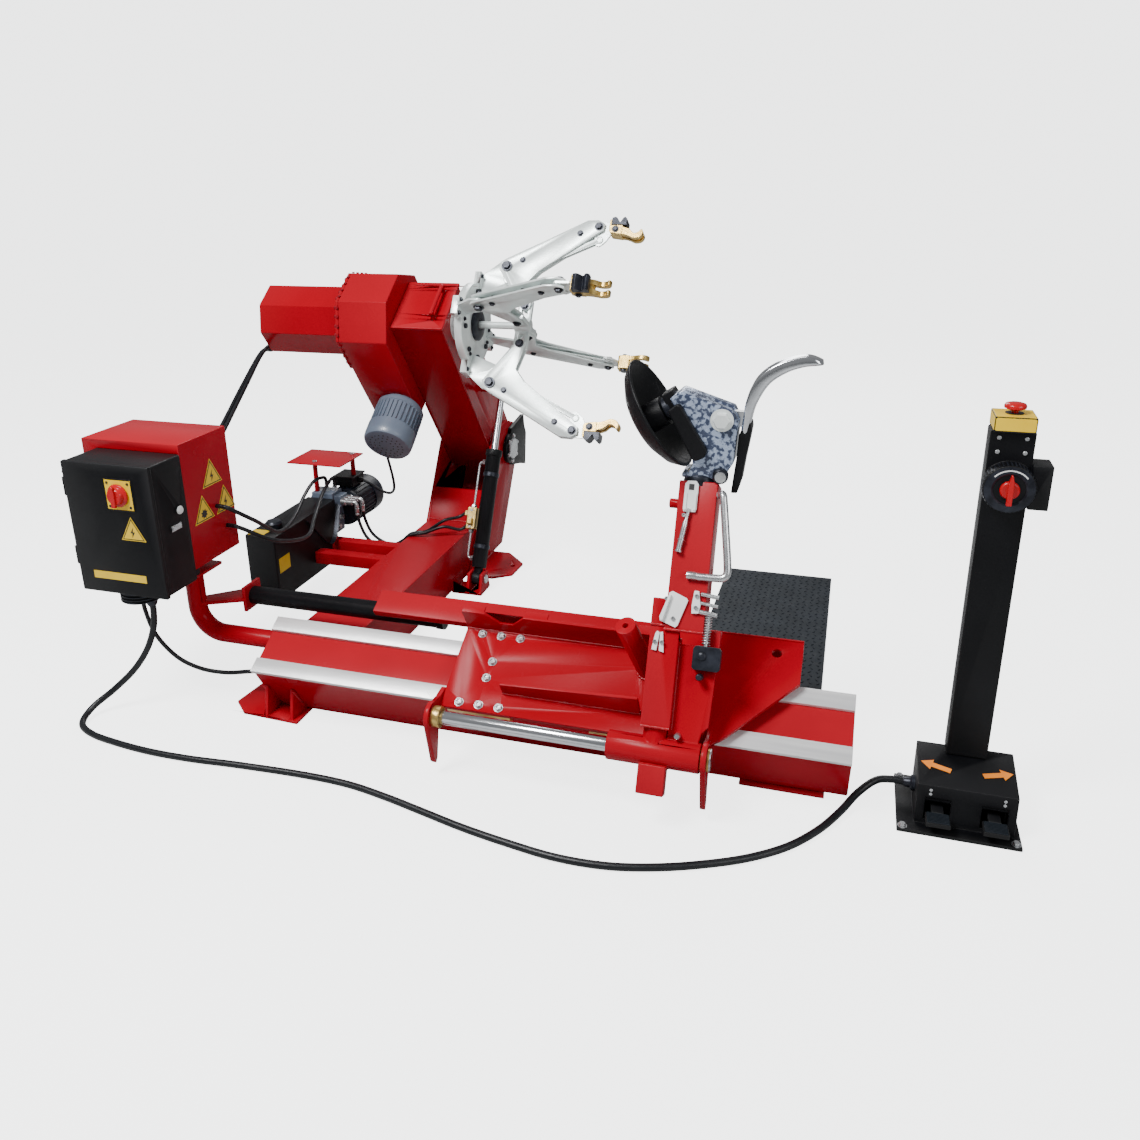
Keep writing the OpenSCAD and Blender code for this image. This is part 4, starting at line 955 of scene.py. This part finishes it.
# ---- Pedal post ----
def make_post():
    refine("control_post", "black_paint", .0025)
    add_blocks("post_cap", [((POST_X - .0465, -.7355, 1.0365), (POST_X + .0465, -.6445, 1.0735))],
               "yellow_plastic", "base", bevel=.005, segments=3)
    top = facing((POST_X, -.69, 1.0736), UP)
    bm = bmesh.new()
    lathe(bm, [(.0085, 0), (.021, 0), (.021, .0012), (.018, .0016), (.0085, .0016)], top, 40)
    add("stop_collar", bm, "ink_and_painted_shade", "base")
    bm = bmesh.new()
    lathe(bm, [(0, -.028), (.0078, -.028), (.0078, .008), (.016, .009), (.0245, .013), (.025, .018),
               (.0225, .023), (.014, .0255), (0, .0262)], top, 56)
    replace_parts(add("stop_button", bm, "red_plastic", "estop_button", angle=50), "estop_button")
    dial = facing((POST_X + .002, -.76, .905), FRONT)
    bm = bmesh.new()
    for a in around(40):
        block(bm, (.0572, -.0016, -.034), (.0596, .0016, -.004), dial @ Matrix.Rotation(a, 4, "Z"))
    lathe(bm, [(.036, -.001), (.052, -.001), (.056, .0015), (.04, .0035), (.036, .001)], dial, 56)
    add("dial_ribs", bm, "black_steel", "base", angle=30)
    bm = bmesh.new()
    arc = [(r * math.cos(math.radians(a)), r * math.sin(math.radians(a)))
           for r, angles in ((.0485, range(40, 141, 10)), (.0455, range(140, 39, -10))) for a in angles]
    prism(bm, arc, .0032, dial)
    add("dial_arc", bm, "white_plastic", "base", smooth=False)
    bm = bmesh.new()
    lathe(bm, [(0, .0005), (.022, .0005), (.022, .008), (.019, .0115), (0, .012)], dial, 48)
    prism(bm, [(-.006, -.034), (.006, -.034), (.0055, .024), (.0015, .04), (-.0015, .04), (-.0055, .024)],
          .012, dial @ at(0, 0, .011))
    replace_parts(add("dial_pointer", bm, "red_plastic", "selector_knob", bevel=.0012), "selector_knob")
    bm = bmesh.new()
    for z in (.868, .942):
        cap_screw(bm, facing((POST_X + .095, -.7, z), RIGHT), .005, .003)
    for z in (1.02, .985):
        for x in (-.03, .03):
            cap_screw(bm, facing((POST_X + x, -.72, z), FRONT), .005, .003)
    for x in (1.19, 1.366):
        for z in (.096, .108):
            cap_screw(bm, facing((x, -.8425, z), (0, -1, .1)), .004, .002)
    for y in (-.876, -.654):
        for x in (1.128, 1.399):
            hex_bolt(bm, facing((x, y, .01), UP), .009, .007)
    add("post_screws", bm, "fitting_steel", "base", angle=30)
    # Arrows on the sloping top: the surface rises 30 mm over 160 mm of depth
    slope = math.atan2(.03, .16)
    arrow = ((.036, -.008), (-.012, -.008), (-.012, -.019), (-.04, 0), (-.012, .019), (-.012, .008),
             (.036, .008))
    for name, x, side in (("arrow_left", 1.205, 1), ("arrow_right", 1.352, -1)):
        bm = bmesh.new()
        prism(bm, [(a * side, b) for a, b in arrow], .0012,
              turned((x, -.77, .134), slope) @ Matrix.Rotation(-.3 * side, 4, "Z"))
        add(name, bm, "orange_label", "base", smooth=False)
    for name, x in (("pedal_left", 1.18), ("pedal_right", 1.316)):
        refine(name, "black_paint", .002)
        bm = bmesh.new()
        block(bm, (x + .003, -.903, .0518), (x + .057, -.861, .0545))
        for y in (-.899 + .0055 * k for k in range(7)):
            block(bm, (x + .005, y, .054), (x + .055, y + .0025, .0565))
        add(name + "_tread", bm, "rubber", name, bevel=.0006)
    bm = bmesh.new()
    lathe(bm, [(.0102, -.002), (.021, -.002), (.021, .008), (.015, .012), (.0125, .026), (.0102, .03)],
          facing((1.158, -.75, .06), LEFT), 32)
    add("post_gland", bm, "black_steel", "base", angle=35)


# ---- Cable and hoses ----
CABLE_R, FIXED_R, UNION_R, LIFT_R, LEAD_R = .01, .007, .008, .0065, .006
CABLE = [(-1.12, -.9, .395), (-1.12, -.9, .37), (-1.12, -.9, .345), (-1.128, -.903, .29),
         (-1.158, -.912, .215), (-1.21, -.928, .14), (-1.275, -.958, .075), (-1.322, -1.01, .032),
         (-1.312, -1.072, .012), (-1.24, -1.112, .011), (-1.13, -1.132, .011), (-1, -1.143, .011),
         (-.86, -1.141, .011), (-.7, -1.128, .011), (-.5, -1.118, .011), (-.35, -1.122, .011),
         (-.22, -1.145, .011), (-.1, -1.174, .011), (.03, -1.206, .011), (.16, -1.23, .011),
         (.3, -1.248, .011), (.43, -1.242, .011), (.55, -1.212, .011), (.66, -1.168, .011),
         (.76, -1.115, .011), (.85, -1.045, .011), (.92, -.96, .012), (.972, -.875, .018), (1.015, -.8, .034),
         (1.06, -.758, .054), (1.1, -.75, .06), (1.13, -.75, .06), (1.162, -.75, .06)]
HOSE_BED = [(-1.17, -.88, .395), (-1.17, -.88, .365), (-1.17, -.88, .335), (-1.16, -.862, .24),
            (-1.12, -.83, .15), (-1.06, -.8, .1), (-.98, -.78, .085), (-.9, -.77, .095),
            (-.85, -.77, .105), (-.82, -.77, .105), (-.79, -.77, .105)]
HOSE_A = [(-.986, -.7, .64), (-.965, -.7, .64), (-.944, -.69, .63), (-.92, -.6, .56),
          (-.96, -.42, .45), (-1.04, -.2, .41), (-1.11, 0, .43), (-1.135, .12, .45), (-1.14, .205, .44),
          (-1.14, .222, .42), (-1.14, .222, .406), (-1.14, .222, .392)]
HOSE_B = [(-.986, -.66, .56), (-.965, -.66, .56), (-.94, -.65, .55), (-.89, -.54, .47),
          (-.925, -.3, .39), (-1.01, -.1, .385), (-1.068, .06, .415), (-1.09, .16, .438),
          (-1.106, .222, .436), (-1.11, .235, .42), (-1.11, .235, .406), (-1.11, .235, .392)]


def ferrule(bm, place, direction, r):
    """A crimped hose end with its hexagon."""
    m = facing(place, direction)
    lathe(bm, [(r * .9, 0), (r * 1.35, .002), (r * 1.35, .02), (r * 1.2, .022), (r * 1.35, .024),
               (r * 1.3, .03), (r * .9, .031)], m, 24)
    hex_bolt(bm, m @ at(0, 0, -.01), r * 1.5, .01, False)


def make_cable():
    path = smooth_path(CABLE, 10)
    bm = bmesh.new()
    sweep(bm, path, CABLE_R, 20)
    cable = add("post_cable", bm, "hose_rubber", "base", angle=60)
    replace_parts(cable, "control_cable")


def bending_hose(name, route, r, sides=14):
    """A hose swept along a smooth path through the route, its transform baked, on no body."""
    bm = bmesh.new()
    sweep(bm, smooth_path(route, 10), r, sides)
    hose = mesh_object(name, bm, "hose_rubber", angle=60)
    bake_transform(hose)


def make_hoses():
    bm = bmesh.new()
    for route in (HOSE_BED, HOSE_A, HOSE_B):
        sweep(bm, smooth_path(route, 8), FIXED_R)
    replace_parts(add("fixed_hoses", bm, "hose_rubber", "base", angle=60), "hoses")
    # Hoses from the cabinet's back to the rotary union
    ends = bmesh.new()
    for k, y in enumerate((-.03, .03)):
        top = IN_ARM @ Vector((-.714, y, .745))
        route = [(-1.245 + .05 * k, -.612, .62), (-1.255 + .05 * k, -.56, .615),
                 (-1.285 + .04 * k, -.42, .64), (-1.33 + .02 * k, -.18, .73), (-1.372 + .015 * k, .06, .85),
                 (-1.392 + .006 * k, .24, .945), (top.x + .002, top.y - .04, top.z - .06), tuple(top)]
        bending_hose(f"union_hose_{k}", route, UNION_R, sides=16)
        ferrule(ends, Vector(route[0]) + Vector((0, .002, 0)), BACK, UNION_R)
    add("cabinet_hose_ends", ends, "fitting_steel", "base", angle=30)
    # Two hoses from the pump's manifold to the lift cylinder's valve block
    ends = bmesh.new()
    for k in range(2):
        tip = IN_LIFT @ Vector((-.074 - .014 * k, -.006, .21 + .05 * k))
        outlet = Vector((-1.01, .196 + .048 * k, .344))
        start = outlet + Vector((.018, 0, -.022))
        # They leave through elbows and hang low: the gear motor comes down over them when the arm leans
        route = [tuple(start), (-.991, start.y, .3), (-.983, start.y + .001, .25),
                 (-.958, start.y + .003, .195), (-.912, start.y + .006, .161),
                 (-.862, .228 + .026 * k, .153), (-.818, .236 + .024 * k, .176),
                 (-.788, .24 + .022 * k, .203), (-.755, .244 + .022 * k, .2125),
                 (-.715, .25 + .022 * k, .22), (-.64, .27 + .01 * k, .246 + .024 * k),
                 (tip.x - .03, tip.y - .012, tip.z - .016), tuple(tip)]
        bending_hose(f"lift_hose_{k}", route, LIFT_R)
        elbow = [outlet, outlet + Vector((.01, 0, 0)), outlet + Vector((.018, 0, -.008)), start]
        sweep(ends, smooth_path(elbow, 4), .0078, 14)
        ferrule(ends, start, DOWN, LIFT_R)
    add("pump_hose_ends", ends, "fitting_steel", "base", angle=30)
    # Motor lead from the pump's side up to the gear motor
    end = IN_ARM @ Vector((-.238, MOTOR_TERMINAL_Y, .408))
    route = [(-1.036, .35, .392), (-1.01, .352, .38), (-.96, .372, .34), (-.93, .4, .33), (-.925, .41, .38),
             (end.x - .022, end.y + .01, end.z - .01), tuple(end)]
    bending_hose("motor_lead", route, LEAD_R)


make_materials()
make_camera()
make_stage()
make_cable()
make_hoses()
make_frame()
make_mat()
make_tool_arm()
make_head()
make_chuck_arm()
make_lift()
make_chuck()
make_cabinet()
make_pump()
make_post()
